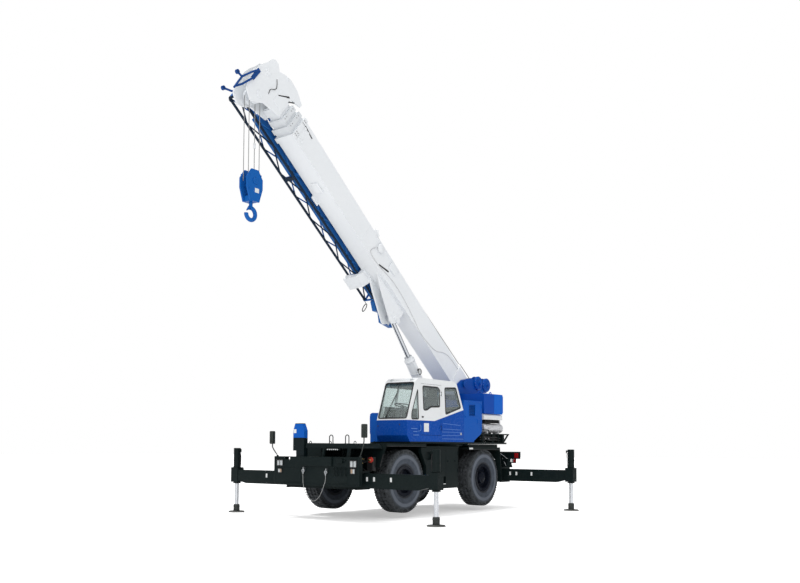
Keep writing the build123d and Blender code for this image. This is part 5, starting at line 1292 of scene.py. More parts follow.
# A row of slats or fins between two ends, made at each point
slat_row, enter, leave = geometry_tree(
    "slat_row", [("Count", "NodeSocketInt", 10), ("Step", "NodeSocketVector", (0, 0, 0.03)),
                 ("Size", "NodeSocketVector", (0.3, 0.01, 0.004)), ("Tilt", "NodeSocketRotation", (0, 0, 0)),
                 ("Finish", "NodeSocketMaterial", None)])
line_up = put_node(slat_row, "GeometryNodeMeshLine")
slat = put_node(slat_row, "GeometryNodeMeshCube")
on_line = put_node(slat_row, "GeometryNodeInstanceOnPoints")
on_start = put_node(slat_row, "GeometryNodeInstanceOnPoints")
wire(slat_row, ((enter, "Count", line_up, "Count"), (enter, "Step", line_up, "Offset"),
                (enter, "Size", slat, "Size"), (line_up, "Mesh", on_line, "Points"),
                (slat, "Mesh", on_line, "Instance"), (enter, "Tilt", on_line, "Rotation"),
                (enter, "Geometry", on_start, "Points"), (on_line, 0, on_start, "Instance")))
coat_all(slat_row, enter, on_start, leave)
# The vent fins take the louvre's painted shade.
grow("locker_vent", slat_row, {"Count": 9, "Step": (0, 0, 0.034), "Size": (0.30, 0.004, 0.022),
                               "Tilt": (math.radians(35), 0, 0), "Finish": louvre_painted_shade},
     [(-1.34, locker_face - 0.016, 2.05)], "superstructure")

# Engine, grille, hood and silencer
# Dark engine under a white sheet hood; a grille of upright bars between them lets the heat out.
# The silencer is a bright aluminised drum held by two straps, its tail pipe turned up behind.


def strap(bm, radius, sunk, rise, half, centre):
    """Flat hoop round a drum that lies along X."""
    turned(bm, [(radius - sunk, -half), (radius + rise, -half), (radius + rise, half), (radius - sunk, half)],
           centre, "X", 36)


engine_paint = enamel("engine_paint", (0.060, 0.066, 0.070), 0.5, 0.5, 1.8, 2.6)
finish_node("engine", engine_paint)
white_sheet = enamel("white_sheet", (0.76, 0.78, 0.80), 0.32, 0.16, 1.8, 4.0, coat=0.25)
finish_node("engine_hood", white_sheet)
grille_dark = enamel("grille_dark", (0.020, 0.022, 0.024), 0.5, 0.3, 1.8, 2.8)
finish_node("engine_grille", grille_dark)
finish_node("rear_rack", chassis_black)
aluminised = patterned("aluminised", clouds(14.0, 6.0, 0.65), ((0.80, 0.81, 0.83), (0.52, 0.53, 0.56)),
                       (0.3, 0.7, 0.32, 0.55), metallic=0.25, bump=(0.3, 0.003), contrast=(0.3, 0.75))
finish_node("silencer", aluminised)
silencer_y, silencer_z, silencer_radius = 0.950, 2.200, 0.125
bm = bmesh.new()
for x in (-2.20, -2.46, -2.72, -2.96):
    bead = [(silencer_radius - 0.002, -0.010), (silencer_radius + 0.006, -0.008),
            (silencer_radius + 0.006, 0.008), (silencer_radius - 0.002, 0.010)]
    turned(bm, bead, (x, silencer_y, silencer_z), "X", 36)
for x in (-2.27, -2.845):
    strap(bm, silencer_radius, 0.002, 0.004, 0.020, (x, silencer_y, silencer_z))
    plate(bm, x - 0.020, x + 0.020, silencer_y + silencer_radius - 0.004,
          silencer_y + silencer_radius + 0.022, silencer_z - 0.012, silencer_z + 0.012, 0.003)
hose(bm, [(-3.06, silencer_y, silencer_z - 0.02), (-3.115, silencer_y - 0.02, silencer_z - 0.01),
          (-3.125, silencer_y - 0.06, silencer_z + 0.08), (-3.12, silencer_y - 0.07, silencer_z + 0.30)],
     0.040, 18, 6)
keep("silencer_bands", bm, aluminised, "superstructure")
bm = bmesh.new()
for x0, x1 in ((-2.935, -2.46), (-2.445, -1.985)):
    plate(bm, x0, x1, 0.42, 1.04, 2.577, 2.586, 0.004)
for x in (-2.70, -2.21):
    plate(bm, x - 0.05, x + 0.05, 1.096, 1.108, 2.455, 2.485, 0.004)
    hose(bm, [(x - 0.06, 0.95, 2.578), (x - 0.06, 0.95, 2.612), (x + 0.06, 0.95, 2.612),
              (x + 0.06, 0.95, 2.578)], 0.007, 8, 4)
keep("hood_panels", bm, white_sheet, "superstructure")
bm = bmesh.new()
for k in range(6):
    x = -2.70 + 0.15 * k
    plate(bm, x - 0.055, x + 0.055, 0.56, 0.812, 2.16, 2.345, 0.012, 2)
    round_bar(bm, (x, 0.79, 2.11), (x, 0.845, 2.09), 0.028, 16, 0.003)
round_bar(bm, (-2.74, 0.845, 2.09), (-1.90, 0.845, 2.09), 0.036, 18, 0.004)
for x in (-2.55, -2.40):
    round_bar(bm, (x, 0.835, 1.86), (x, 0.835, 2.02), 0.052, 24, 0.008)
    round_bar(bm, (x, 0.835, 2.02), (x, 0.835, 2.045), 0.056, 24, 0.006)
plate(bm, -2.30, -1.95, 0.795, 0.83, 1.83, 1.99, 0.012, 2)
keep("engine_castings", bm, engine_paint, "superstructure")
grow("radiator_fins", slat_row, {"Count": 34, "Step": (0, 0, 0.0145), "Size": (0.010, 0.37, 0.004),
                                 "Finish": grille_dark},
     [(-2.804, 0.60, 1.83)], "superstructure")
grow("rear_guard_bars", slat_row, {"Count": 8, "Step": (0, 0, 0.06), "Size": (0.012, 0.40, 0.010),
                                   "Finish": chassis_black},
     [(-2.815, 0.60, 1.86)], "superstructure")

# Rack hoses
# Pressure hoses clamped through the rack, some in black rubber and some in a pale braid sleeve.
pale_braid = patterned("pale_braid", bands(60.0, "DIAGONAL"), ((0.42, 0.43, 0.44), (0.74, 0.75, 0.76)), 0.6,
                       bump=(0.5, 0.002))
bm = bmesh.new()
pale = bmesh.new()
for k, (y, z, radius) in enumerate(((1.185, 1.88, 0.020), (1.15, 1.985, 0.016), (1.19, 1.94, 0.018),
                                    (1.06, 1.985, 0.017))):
    target = pale if k == 3 else bm
    hose(target, [(-1.66, y - 0.03, z), (-1.90, y, z + 0.01), (-2.15, y - 0.01, z - 0.01), (-2.40, y, z),
                  (-2.66, y - 0.04, z - 0.02), (-2.86, y - 0.08, z - 0.04)], radius, 10)
for x in (-1.95, -2.10):
    hose(pale, [(x, 1.00, 1.81), (x - 0.02, 1.12, 1.86), (x - 0.01, 1.16, 1.93), (x + 0.02, 1.02, 2.01)],
         0.018, 10)
keep("rack_hoses_dark", bm, rubber, "superstructure")
keep("rack_hoses_pale", pale, pale_braid, "superstructure")
bm = bmesh.new()
for x in (-1.72, -2.02, -2.34, -2.58, -2.80):
    plate(bm, x - 0.012, x + 0.012, 1.12, 1.205, 1.82, 2.02, 0.004)
hose(bm, [(-1.66, 1.195, 2.045), (-1.66, 1.195, 2.12), (-1.72, 1.195, 2.14), (-2.02, 1.195, 2.14),
          (-2.06, 1.195, 2.11), (-2.06, 1.195, 2.045)], 0.011, 8)
keep("rack_clamps", bm, chassis_black, "superstructure")

# Counterweight
# Cast slabs behind the winches, painted blue, the rear one lighter as painted light, with lifting eyes and
# the joint of the two castings.
# Ribs run down their outer faces and across the rear one, which is bolted through.
# Brighter blue on the rear casting behind the joint: painted light for the light it catches.
weight_blue_with_painted_light = masked("X", -2.490, (0.001, 0.115, 0.56), (0.001, 0.062, 0.38), 0.004)
weight_paint = enamel("counterweight_paint", None, 0.34, 0.04, 2.4, 3.4, dust=(0.05, 0.12, 0.25),
                      colour_socket=weight_blue_with_painted_light, coat=0.3)
finish_node("counterweight", weight_paint)
bm = bmesh.new()
for side in (-1, 1):
    plate(bm, -2.496, -2.484, side * 1.104, side * 1.114, 2.60, 3.13, 0.003)
    for x in (-2.20, -2.80):
        hose(bm, [(x - 0.05, side * 0.80, 3.13), (x - 0.05, side * 0.80, 3.18), (x, side * 0.80, 3.215),
                  (x + 0.05, side * 0.80, 3.18), (x + 0.05, side * 0.80, 3.13)], 0.013, 10)
    plate(bm, -2.97, -2.94, side * 1.104, side * 1.114, 2.63, 3.10, 0.004)
plate(bm, -2.982, -2.970, -1.05, 1.05, 2.66, 2.69, 0.004)
plate(bm, -2.982, -2.970, -1.05, 1.05, 3.04, 3.07, 0.004)
keep("counterweight_details", bm, weight_paint, "superstructure")
weight_bolts = [(-2.977, y, z) for y in (-1.0, -0.5, 0.0, 0.5, 1.0) for z in (2.74, 2.99)]
bolts("counterweight_bolts", weight_bolts, "X", 0.018, zinc, "superstructure")

# Winches
# Grooved drums between flanges, each full of rope laid turn by turn in two layers.
drum_blue = enamel("drum_blue", (0.002, 0.078, 0.40), 0.35, 0.08, 2.8, 4.0, dust=(0.06, 0.10, 0.16))
wound, enter, leave = geometry_tree(
    "wound_rope", [("Turns", "NodeSocketFloat", 22.0), ("Radius", "NodeSocketFloat", 0.14),
                   ("Width", "NodeSocketFloat", 0.4), ("Rope", "NodeSocketFloat", 0.008),
                   ("Finish", "NodeSocketMaterial", None)])
coil = put_node(wound, "GeometryNodeCurveSpiral", {"Resolution": 26})
section = put_node(wound, "GeometryNodeCurvePrimitiveCircle", {"Resolution": 7})
tube = put_node(wound, "GeometryNodeCurveToMesh", {"Fill Caps": True})
lay_down = put_node(wound, "GeometryNodeTransform")
lay_down.inputs["Rotation"].default_value = (math.pi / 2, 0, 0)
wire(wound, ((enter, "Turns", coil, "Rotations"), (enter, "Radius", coil, "Start Radius"),
             (enter, "Radius", coil, "End Radius"), (enter, "Width", coil, "Height"),
             (enter, "Rope", section, "Radius"), (coil, 0, tube, "Curve"),
             (section, 0, tube, "Profile Curve"), (tube, 0, lay_down, 0)))
coat_all(wound, enter, lay_down, leave)
for body, (x, z) in winch_places.items():
    finish_node(body + "_drum", drum_blue)
    for layer, turns in ((0, 26), (1, 25)):
        half = 0.222 - 0.008 * layer
        grow("%s_rope_layer_%d" % (body, layer + 1), wound,
             {"Turns": float(turns), "Radius": 0.1385 + 0.0145 * layer, "Width": 2 * half, "Rope": 0.0082,
              "Finish": wire_rope}, [(0, 0, 0)], body, Matrix.Translation((x, half, z)))

# Cab
# Welded cab on the left, white above a slanting belt line and blue below, all one shell with its door.
# Rubber gaskets hold the panes; rails, ribs and a small round lamp dress the lower side.
cab_left = 1.270


def cab_colours(tree, place):
    """White above the belt line, blue below it and grey trim inside."""
    x, y, z = apart(tree, place)
    belt = spread(tree, x, -0.703, 0.613, 2.637, 2.318)
    over = spread(tree, sum_up(tree, "SUBTRACT", z, belt), -0.002, 0.002, 0.0, 1.0)
    shade = noise_at(tree, place, 0.9, 3.0)
    blue = blend_colours(tree, shade, (0.0004, 0.056, 0.34), (0.0008, 0.072, 0.40))
    white = blend_colours(tree, shade, (0.74, 0.76, 0.77), (0.84, 0.86, 0.87))
    painted = blend_colours(tree, over, blue, white)
    slant = spread(tree, z, 2.32, 3.26, 1.705, 1.375)
    tuck = spread(tree, z, 1.85, 1.97, 1.645, 1.735)
    inside = sum_up(tree, "MULTIPLY", sum_up(tree, "LESS_THAN", x, slant), sum_up(tree, "LESS_THAN", x, tuck))
    walls = ((x, -0.655, "GREATER_THAN"), (y, 0.399, "GREATER_THAN"), (z, 1.846, "GREATER_THAN"),
             (y, 1.224, "LESS_THAN"), (z, 3.303, "LESS_THAN"))
    for value, bound, how in walls:
        inside = sum_up(tree, "MULTIPLY", inside, sum_up(tree, how, value, bound))
    return blend_colours(tree, inside, painted, (0.20, 0.22, 0.22))


cab_paint = enamel("cab_paint", None, 0.26, 0.035, 1.7, 3.4, dust=(0.10, 0.16, 0.26),
                   colour_socket=cab_colours, coat=0.5)
finish_node("cab_shell", cab_paint)
finish_node("cab_door", cab_paint)


def facing_of(corners):
    """The way that an outline looks."""
    normal = Vector((0, 0, 0))
    for k in range(len(corners)):
        normal += Vector(corners[k]).cross(Vector(corners[(k + 1) % len(corners)]))
    return normal.normalized()


def gasket(bm, corners, grow_out, cover, rise, base=0.004):
    """Rubber strip round a pane: laid over the rim of the opening and over the glass."""
    corners = [Vector(c) for c in corners]
    count = len(corners)
    normal = facing_of(corners)
    loops = []
    for offset, lift in ((grow_out, -base), (grow_out, rise * 0.6), (grow_out * 0.4, rise),
                         (-cover * 0.6, rise), (-cover, rise * 0.3), (-cover, -base)):
        loop = []
        for k in range(count):
            before = (corners[k] - corners[k - 1]).normalized()
            after = (corners[(k + 1) % count] - corners[k]).normalized()
            out_before, out_after = before.cross(normal), after.cross(normal)
            mitre = (out_before + out_after) / max(0.3, 1 + out_before.dot(out_after))
            loop.append(corners[k] + mitre * offset + normal * lift)
        loops.append([bm.verts.new(p) for p in loop])
    faces = []
    for first, second in zip(loops, loops[1:] + loops[:1]):
        for k in range(count):
            j = (k + 1) % count
            faces.append(bm.faces.new((first[k], first[j], second[j], second[k])))
    bmesh.ops.recalc_face_normals(bm, faces=faces)


def rounded(outline, radius, steps=4):
    """Outline with its corners rounded."""
    done = []
    count = len(outline)
    for k in range(count):
        spot, before, after = Vector(outline[k]), Vector(outline[k - 1]), Vector(outline[(k + 1) % count])
        back, ahead = before - spot, after - spot
        reach = min(radius, back.length * 0.4, ahead.length * 0.4)
        first, last = spot + back.normalized() * reach, spot + ahead.normalized() * reach
        for j in range(steps + 1):
            t = j / steps
            done.append(tuple(first * (1 - t) ** 2 + spot * 2 * t * (1 - t) + last * t * t))
    return done


def on_left(outline, face=cab_left):
    """Outline of (x, z) points stood on the cab's left face, turned to look outwards."""
    return [(x, face, z) for x, z in outline]


screen_low, screen_high = 2.360, 3.235
screen_foot, screen_foot_z, screen_rake = 1.760, 2.320, 0.35106


def screen_x(z):
    """Station of the windscreen at a height."""
    return screen_foot - (z - screen_foot_z) * screen_rake


def rear_corner(z):
    """Station of the cab's sloped rear corner at a height."""
    return -0.370 - (3.290 - z) * 0.4925


quarter_window = [(1.290, 2.349), (1.577, 2.342), (1.578, 2.485), (1.337, 3.074)]
rear_window = [(0.176, 3.162), (-0.326, 3.189), (-0.561, 2.684), (0.128, 2.495)]
right_window = [(-0.250, 2.640), (1.560, 2.640), (1.420, 3.150), (-0.250, 3.150)]
door_window = [(1.129, 3.159), (0.486, 3.157), (0.398, 3.100), (0.396, 2.674), (0.770, 2.660), (0.950, 2.575),
               (1.084, 2.575)]


def facing(corners, way):
    """Corners in the order that makes them look a given way."""
    return corners if facing_of(corners).dot(Vector(way)) > 0 else list(reversed(corners))


bm = bmesh.new()
screen = [(screen_x(screen_low), 0.384, screen_low), (screen_x(screen_low), 1.238, screen_low),
          (screen_x(screen_high), 1.238, screen_high), (screen_x(screen_high), 0.384, screen_high)]
rear_opening = [(rear_corner(z), y, z)
                for y, z in ((0.452, 2.700), (1.170, 2.700), (1.170, 3.150), (0.452, 3.150))]
for outline, radius, way, grow_out, cover in (
        (screen, 0.06, (1, 0, 0.35), 0.014, 0.020), (on_left(quarter_window), 0.05, (0, 1, 0), 0.012, 0.016),
        (on_left(rear_window), 0.05, (0, 1, 0), 0.014, 0.020),
        (on_left(right_window, 0.352), 0.05, (0, -1, 0), 0.014, 0.020),
        (rear_opening, 0.05, (-1, 0, 0.4), 0.016, 0.012)):
    gasket(bm, facing(rounded(outline, radius), way), grow_out, cover, 0.006)
slope = Vector((-screen_rake, 0, 1)).normalized()
ahead = Vector((1, 0, screen_rake)).normalized()
pivot = Vector((screen_x(2.40), 0.62, 2.40)) + ahead * 0.020
tip = Vector((screen_x(2.98), 0.80, 2.98)) + ahead * 0.012
hose(bm, [pivot, pivot.lerp(tip, 0.5) + ahead * 0.014, tip], 0.006, 8)
hose(bm, [pivot + Vector((0, 0.03, 0)), pivot.lerp(tip, 0.5) + ahead * 0.014 + Vector((0, 0.03, 0)),
          tip + Vector((0, 0.004, 0))], 0.005, 8)
blade = slope * 0.30
round_bar(bm, tip - blade, tip + blade * 0.8, 0.007, 8)
round_bar(bm, pivot - ahead * 0.030, pivot + ahead * 0.010, 0.022, 16, 0.003)
for y, z in ((0.389, 2.178), (1.044, 2.208)):
    turned(bm, [(0, 0.006), (0.014, 0.006), (0.018, 0.002), (0.018, -0.004)], (screen_foot, y, z), "X", 18)
plate(bm, 1.40, 1.62, 0.42, 1.20, 2.338, 2.350, 0.003)
keep("cab_gaskets", bm, rubber, "superstructure")
bm = bmesh.new()
gasket(bm, facing(rounded(on_left(door_window), 0.05), (0, 1, 0)), 0.014, 0.020, 0.006)
for z in (2.150, 3.005):
    round_bar(bm, (0.335, cab_left + 0.006, z - 0.05), (0.335, cab_left + 0.006, z + 0.05), 0.011, 14, 0.002)
plate(bm, 1.090, 1.160, cab_left - 0.002, cab_left + 0.006, 2.385, 2.425, 0.006)
plate(bm, 1.095, 1.155, cab_left + 0.004, cab_left + 0.020, 2.400, 2.420, 0.006)
keep("door_gasket_and_handle", bm, rubber, "door")
keep_plate("door_plate", (0.862, 1.068, cab_left - 0.001, cab_left + 0.004, 2.045, 2.256), 0.002, white_sheet,
           "door")

cab_trim = enamel("cab_trim", (0.10, 0.24, 0.62), 0.32, 0.12, 1.7, 3.4, coat=0.3)
bm = bmesh.new()
for x0, z0, x1, z1 in ((0.245, 2.265, -0.555, 2.231), (0.245, 2.127, -0.556, 2.115),
                       (0.289, 2.051, -0.627, 2.051), (0.285, 1.962, -0.533, 1.973),
                       (0.285, 1.880, -0.690, 1.880)):
    cut_plate(bm, [(x0, z0 - 0.006), (x0, z0 + 0.006), (x1, z1 + 0.006), (x1, z1 - 0.006)], "Y",
              cab_left - 0.002, cab_left + 0.008, 0.002)
for x0, x1, z in ((1.358, 1.602, 2.116), (1.357, 1.521, 2.045), (1.295, 1.520, 1.960)):
    plate(bm, x0, x1, cab_left - 0.002, cab_left + 0.016, z - 0.009, z + 0.009, 0.004)
hose(bm, [(1.232, cab_left - 0.002, 2.206), (1.232, cab_left + 0.020, 2.20), (1.228, cab_left + 0.022, 2.12),
          (1.240, cab_left + 0.022, 2.075), (1.290, cab_left + 0.020, 2.060),
          (1.325, cab_left - 0.002, 2.058)], 0.009, 10)
keep("cab_ribs_and_rails", bm, cab_trim, "superstructure")
bm = bmesh.new()
turned(bm, [(0, 0.016), (0.020, 0.014), (0.030, 0.006), (0.033, -0.004)], (-0.580, cab_left, 2.013), "Y", 24)
for y in (0.52, 1.12):
    turned(bm, [(0, 0.034), (0.034, 0.028), (0.044, 0.010), (0.045, -0.006)], (1.376, y, 3.292), "X", 24)
keep("cab_round_lamps", bm, clear_lens, "superstructure")
bm = bmesh.new()
plate(bm, -0.24, 0.62, 0.50, 1.12, 3.346, 3.352, 0.003)
plate(bm, -0.20, 0.58, 0.54, 1.08, 3.350, 3.358, 0.003)
plate(bm, -0.30, 1.26, 1.222, 1.244, 3.340, 3.352, 0.004)
keep("cab_roof_hatch", bm, white_sheet, "superstructure")

# Cab glass
# Laminated panes, faintly green, dustier along their lower edges and tinted at the windscreen's top.


def pane(name):
    """Clear laminated glass with a dust film low down and a shade band on the windscreen."""
    paint, tree, shader, place = start_finish(name)
    x, y, z = apart(tree, place)
    band = sum_up(tree, "MULTIPLY", spread(tree, z, 3.12, 3.18, 0.0, 1.0),
                  sum_up(tree, "GREATER_THAN", x, 1.38))
    glass_colour = blend_colours(tree, noise_at(tree, place, 1.2, 2.0), (0.72, 0.80, 0.79),
                                 (0.80, 0.87, 0.86))
    tree.links.new(blend_colours(tree, band, glass_colour, (0.22, 0.33, 0.38)), shader.inputs["Base Color"])
    film = sum_up(tree, "MULTIPLY", spread(tree, z, 2.35, 2.9, 0.20, 0.02), noise_at(tree, place, 5.0, 5.0))
    tree.links.new(film, shader.inputs["Roughness"])
    shader.inputs["Transmission Weight"].default_value = 0.9
    shader.inputs["IOR"].default_value = 1.30
    rays = put_node(tree, "ShaderNodeLightPath")
    tree.links.new(sum_up(tree, "SUBTRACT", 1.0, sum_up(tree, "MULTIPLY", rays.outputs["Is Shadow Ray"],
                                                        0.85)), shader.inputs["Alpha"])
    return paint


cab_pane = pane("cab_pane")
finish_node("cab_glass", cab_pane)
finish_node("door_glass", cab_pane)

# Cab inside
# Sprung seat in woven cloth, console, slanted steering column and a row of levers and pedals.


def weave(tree, place):
    """Threads that cross."""
    return sum_up(tree, "MULTIPLY", waves_at(tree, place, 90.0, "X"), waves_at(tree, place, 90.0, "Z"))


cloth = patterned("woven_cloth", weave, ((0.030, 0.034, 0.040), (0.085, 0.092, 0.105)), 0.85,
                  bump=(0.4, 0.002))
finish_node("cab_interior", cloth)
bm = bmesh.new()
for y, x, z in ((0.46, 0.48, 2.350), (0.51, 0.56, 2.350), (0.46, 0.66, 2.350), (0.51, 0.76, 2.350)):
    hose(bm, [(x, y, z - 0.01), (x + 0.01, y, z + 0.08), (x + 0.015, y, z + 0.16)], 0.008, 8, 3)
    turned(bm, [(0, 0.045), (0.016, 0.040), (0.024, 0.020), (0.020, 0.004), (0.010, 0)],
           (x + 0.015, y, z + 0.15), "Z", 16)
plate(bm, 1.32, 1.40, 0.44, 0.62, 2.42, 2.60, 0.012, 2)
round_bar(bm, (1.36, 0.53, 2.10), (1.36, 0.53, 2.44), 0.016, 12, 0.002)
for y in (0.66, 0.80, 0.94):
    cut_plate(bm, [(1.40, 1.86), (1.46, 1.90), (1.40, 2.02), (1.385, 2.015)], "Y", y - 0.04, y + 0.04, 0.004)
plate(bm, 0.02, 0.06, 0.62, 0.96, 2.955, 3.13, 0.02, 2)
for y in (0.50, 1.07):
    plate(bm, 0.20, 0.52, y - 0.030, y + 0.030, 2.36, 2.41, 0.015, 2)
    plate(bm, 0.16, 0.22, y - 0.015, y + 0.015, 2.25, 2.38, 0.006)
keep("levers_and_pedals", bm, moulded_black, "superstructure")

# Boom
# Box sections of welded high-strength plate that slide in one another on bolted wear pads.
# White enamel on the base and the head, a little greyer on the sections that slide.
boom_angle = math.radians(39)
boom_pivot = Vector((pivot_x, 0, pivot_z))
along_boom = Matrix.Translation(boom_pivot) @ Matrix.Rotation(-boom_angle, 4, "Y")


def boom_colours(tree, place):
    """White that varies in broad clouds."""
    return blend_colours(tree, noise_at(tree, place, 0.7, 4.0), (0.76, 0.79, 0.82), (0.86, 0.88, 0.90))


boom_white = enamel("boom_white", None, 0.30, 0.10, 3.0, 11.0, dust=(0.42, 0.42, 0.42),
                    colour_socket=boom_colours, coat=0.3)
slide_white = enamel("slide_white", (0.70, 0.73, 0.76), 0.34, 0.20, 6.0, 13.0,
                     dust=(0.32, 0.32, 0.31), coat=0.2)
for name in ("boom_base", "boom_top"):
    finish_node(name, boom_white)
for name in ("boom_second", "boom_third"):
    finish_node(name, slide_white)
boom_side = 0.260
bm = bmesh.new()
for s in (0.95, 3.00, 5.50):
    for side in (-1, 1):
        side_plate(bm, side, boom_side, s - 0.004, s + 0.004, -0.004, 0.004, -0.295, 0.295, 0.002)
for side in (-1, 1):
    for s, low, high in ((8.30, 0.12, 0.22), (8.30, -0.22, -0.12), (8.42, 0.12, 0.22), (8.42, -0.22, -0.12)):
        side_plate(bm, side, boom_side, s - 0.035, s + 0.035, -0.002, 0.012, low, high, 0.006)
    plate(bm, 3.05, 3.42, side * 0.157, side * 0.166, -0.70, -0.56, 0.006)
    round_bar(bm, (3.25, side * 0.160, -0.630), (3.25, side * 0.186, -0.630), 0.078, 28, 0.006)
    plate(bm, 3.235, 3.265, side * 0.184, side * 0.196, -0.675, -0.585, 0.004)
plate(bm, 3.98, 5.18, 0.256, 0.272, 0.235, 0.262, 0.004)
plate(bm, 4.05, 4.35, boom_side - 0.002, boom_side + 0.035, 0.02, 0.24, 0.014, 2)
turned(bm, [(0.02, 0.0), (0.112, 0.0), (0.120, 0.006), (0.120, 0.014), (0.05, 0.018), (0.05, 0.040),
            (0.120, 0.044), (0.120, 0.052), (0.112, 0.058), (0, 0.058)],
       (4.88, boom_side - 0.002, 0.12), "Y", 32)
plate(bm, 5.05, 5.28, 0.10, 0.20, 0.296, 0.44, 0.012, 2)
plate(bm, 5.02, 5.32, 0.04, 0.26, 0.292, 0.304, 0.004)
hose(bm, [(5.05, -0.09, 0.30), (5.06, -0.09, 0.56), (5.10, -0.07, 0.61), (5.10, 0.07, 0.61),
          (5.06, 0.09, 0.56), (5.05, 0.09, 0.30)], 0.012, 10)
keep("boom_side_fittings", bm, boom_white, "boom", along_boom)
bm = bmesh.new()
cable_line = [(5.10, -0.18), (5.00, -0.25), (4.60, -0.23), (4.14, -0.14), (3.84, -0.11), (3.34, -0.13),
              (2.83, -0.20), (2.36, -0.28), (1.91, -0.25), (1.51, -0.15), (1.20, 0.07), (0.90, 0.17),
              (0.40, 0.20)]
grey_cable = bmesh.new()
hose(grey_cable, [(4.88, boom_side + 0.02, 0.12), (5.02, boom_side + 0.014, 0.00)]
     + [(s, boom_side + 0.007, n) for s, n in cable_line], 0.007, 8, 4)
keep("boom_side_line", grey_cable, pale_braid, "boom", along_boom)
for outline in ([(4.64, -0.225), (4.66, -0.200), (4.30, -0.050), (4.27, -0.060), (4.28, -0.085)],
                [(8.57, 0.215), (8.58, 0.195), (8.15, 0.140), (8.14, 0.160)]):
    cut_plate(bm, outline, "Y", boom_side - 0.002, boom_side + 0.014, 0.003)
keep("boom_side_cable", bm, rubber, "boom", along_boom)
pad_bolts = [(s, side * (boom_side + 0.023), n) for side in (-1, 1) for s in (8.515, 8.565)
             for n in (-0.24, -0.16, 0.16, 0.24)]
bolts("wear_pad_bolts", pad_bolts, "Y", 0.012, zinc, "boom", along_boom)
bm = bmesh.new()
rope_start, rope_end = Vector((0.20, 0, 0.632)), Vector((9.70, 0, 0.345))
tube_along(bm, [rope_start.lerp(rope_end, k / 24) for k in range(25)], 0.011, 8)
keep("hoist_rope", bm, wire_rope, "boom", along_boom)
bm = bmesh.new()
rope_lead = Vector((-0.46, 0.032, 0.652))
tube_along(bm, [rope_lead.lerp(Vector((0.185, 0.030, 0.633)), k / 4) for k in range(5)], 0.011, 8)
keep("rope_off_the_winch", bm, wire_rope, "superstructure", along_boom)
for body, front, half_y in (("second_section", 8.790, 0.228), ("third_section", 8.980, 0.196)):
    collar = [(front - 0.045, side * (half_y + 0.021), n) for side in (-1, 1)
              for n in (-0.19, -0.11, 0.11, 0.19)]
    bolts(body + "_pad_bolts", collar, "Y", 0.011, zinc, body, along_boom)

# Boom head
# Side plates with two rows of rope sheaves between them, a guard roller, cable runs and a head lamp.
bm = bmesh.new()
for side in (-1, 1):
    face = side * 0.224
    for s, n, radius in ((9.740, -0.450, 0.080), (9.900, 0.150, 0.080), (9.460, 0.560, 0.036)):
        round_bar(bm, (s, face - side * 0.004, n), (s, face + side * 0.016, n), radius, 28, 0.005)
        plate(bm, s - radius * 0.9, s + radius * 0.9, face, face + side * 0.022, n - 0.012, n + 0.012, 0.003)
    plate(bm, 9.12, 9.42, face - side * 0.006, face + side * 0.010, -0.20, 0.20, 0.006)
plate(bm, 9.84, 9.93, -0.20, 0.20, 0.520, 0.548, 0.004)
keep("head_bosses", bm, boom_white, "top_section", along_boom)
bm = bmesh.new()
hose(bm, [(9.59, 0.230, -0.22), (9.62, 0.236, -0.10), (9.54, 0.234, 0.02), (9.55, 0.236, 0.12),
          (9.65, 0.230, 0.25)], 0.007, 8)
cut_plate(bm, [(9.39, 0.00), (9.41, 0.02), (9.18, 0.29), (9.15, 0.27)], "Y", 0.222, 0.236, 0.004)
cut_plate(bm, [(9.22, 0.04), (9.24, 0.06), (9.00, 0.33), (8.98, 0.31)], "Y", 0.222, 0.232, 0.004)
round_bar(bm, (9.30, -0.16, 0.600), (9.30, 0.16, 0.600), 0.012, 10)
keep("head_cables", bm, rubber, "top_section", along_boom)

# Folding jib
# Lattice of tubes and a plated second stage, pinned along the boom's right side on two seats.
# Deep blue paint, lightened as painted light against the shade under the boom; painted shade makes the lower
# tubes near navy; a chain and its ring hang from the stage.


def jib_blue_painted_light_and_shade(tree, place):
    """Deep blue lightened as painted light, with painted shade: near navy on the tubes farthest from the
    boom.
    """
    x, y, z = apart(tree, place)
    level, height = sum_up(tree, "SUBTRACT", x, boom_pivot.x), sum_up(tree, "SUBTRACT", z, boom_pivot.z)
    cosine, sine = math.cos(boom_angle), math.sin(boom_angle)
    drop = sum_up(tree, "SUBTRACT", sum_up(tree, "MULTIPLY", height, cosine),
                  sum_up(tree, "MULTIPLY", level, sine))
    far = sum_up(tree, "ADD", sum_up(tree, "MULTIPLY", level, cosine), sum_up(tree, "MULTIPLY", height, sine))
    # Painted shade: the tubes below the boom's underside, beyond 3.8 m along it, go near navy.
    lower = sum_up(tree, "MULTIPLY", spread(tree, drop, -0.375, -0.365, 1.0, 0.0),
                   spread(tree, far, 3.76, 3.80, 0.0, 1.0))
    return blend_colours(tree, lower, (0.016, 0.125, 0.40), (0.006, 0.018, 0.040))


jib_blue = enamel("jib_blue", None, 0.34, 0.08, 4.0, 10.0, dust=(0.10, 0.14, 0.20), colour_socket=jib_blue_painted_light_and_shade,
                  coat=0.2)
fork_blue = enamel("fork_blue", (0.010, 0.060, 0.24), 0.34, 0.08, 4.0, 11.0, dust=(0.10, 0.14, 0.20),
                   coat=0.2)
finish_node("jib", jib_blue)
finish_node("jib_fork", fork_blue)
bm = bmesh.new()
for s in (4.55, 7.60):
    plate(bm, s - 0.06, s + 0.06, -0.335, -0.262, -0.30, -0.12, 0.010)
    round_bar(bm, (s, -0.32, -0.02), (s, -0.32, 0.10), 0.020, 16, 0.003)
for s in (3.4, 5.2, 6.1, 8.2, 9.0):
    plate(bm, s - 0.05, s + 0.05, -0.526, -0.354, -0.105, -0.092, 0.004)
    plate(bm, s - 0.05, s + 0.05, -0.528, -0.516, -0.345, -0.095, 0.004)
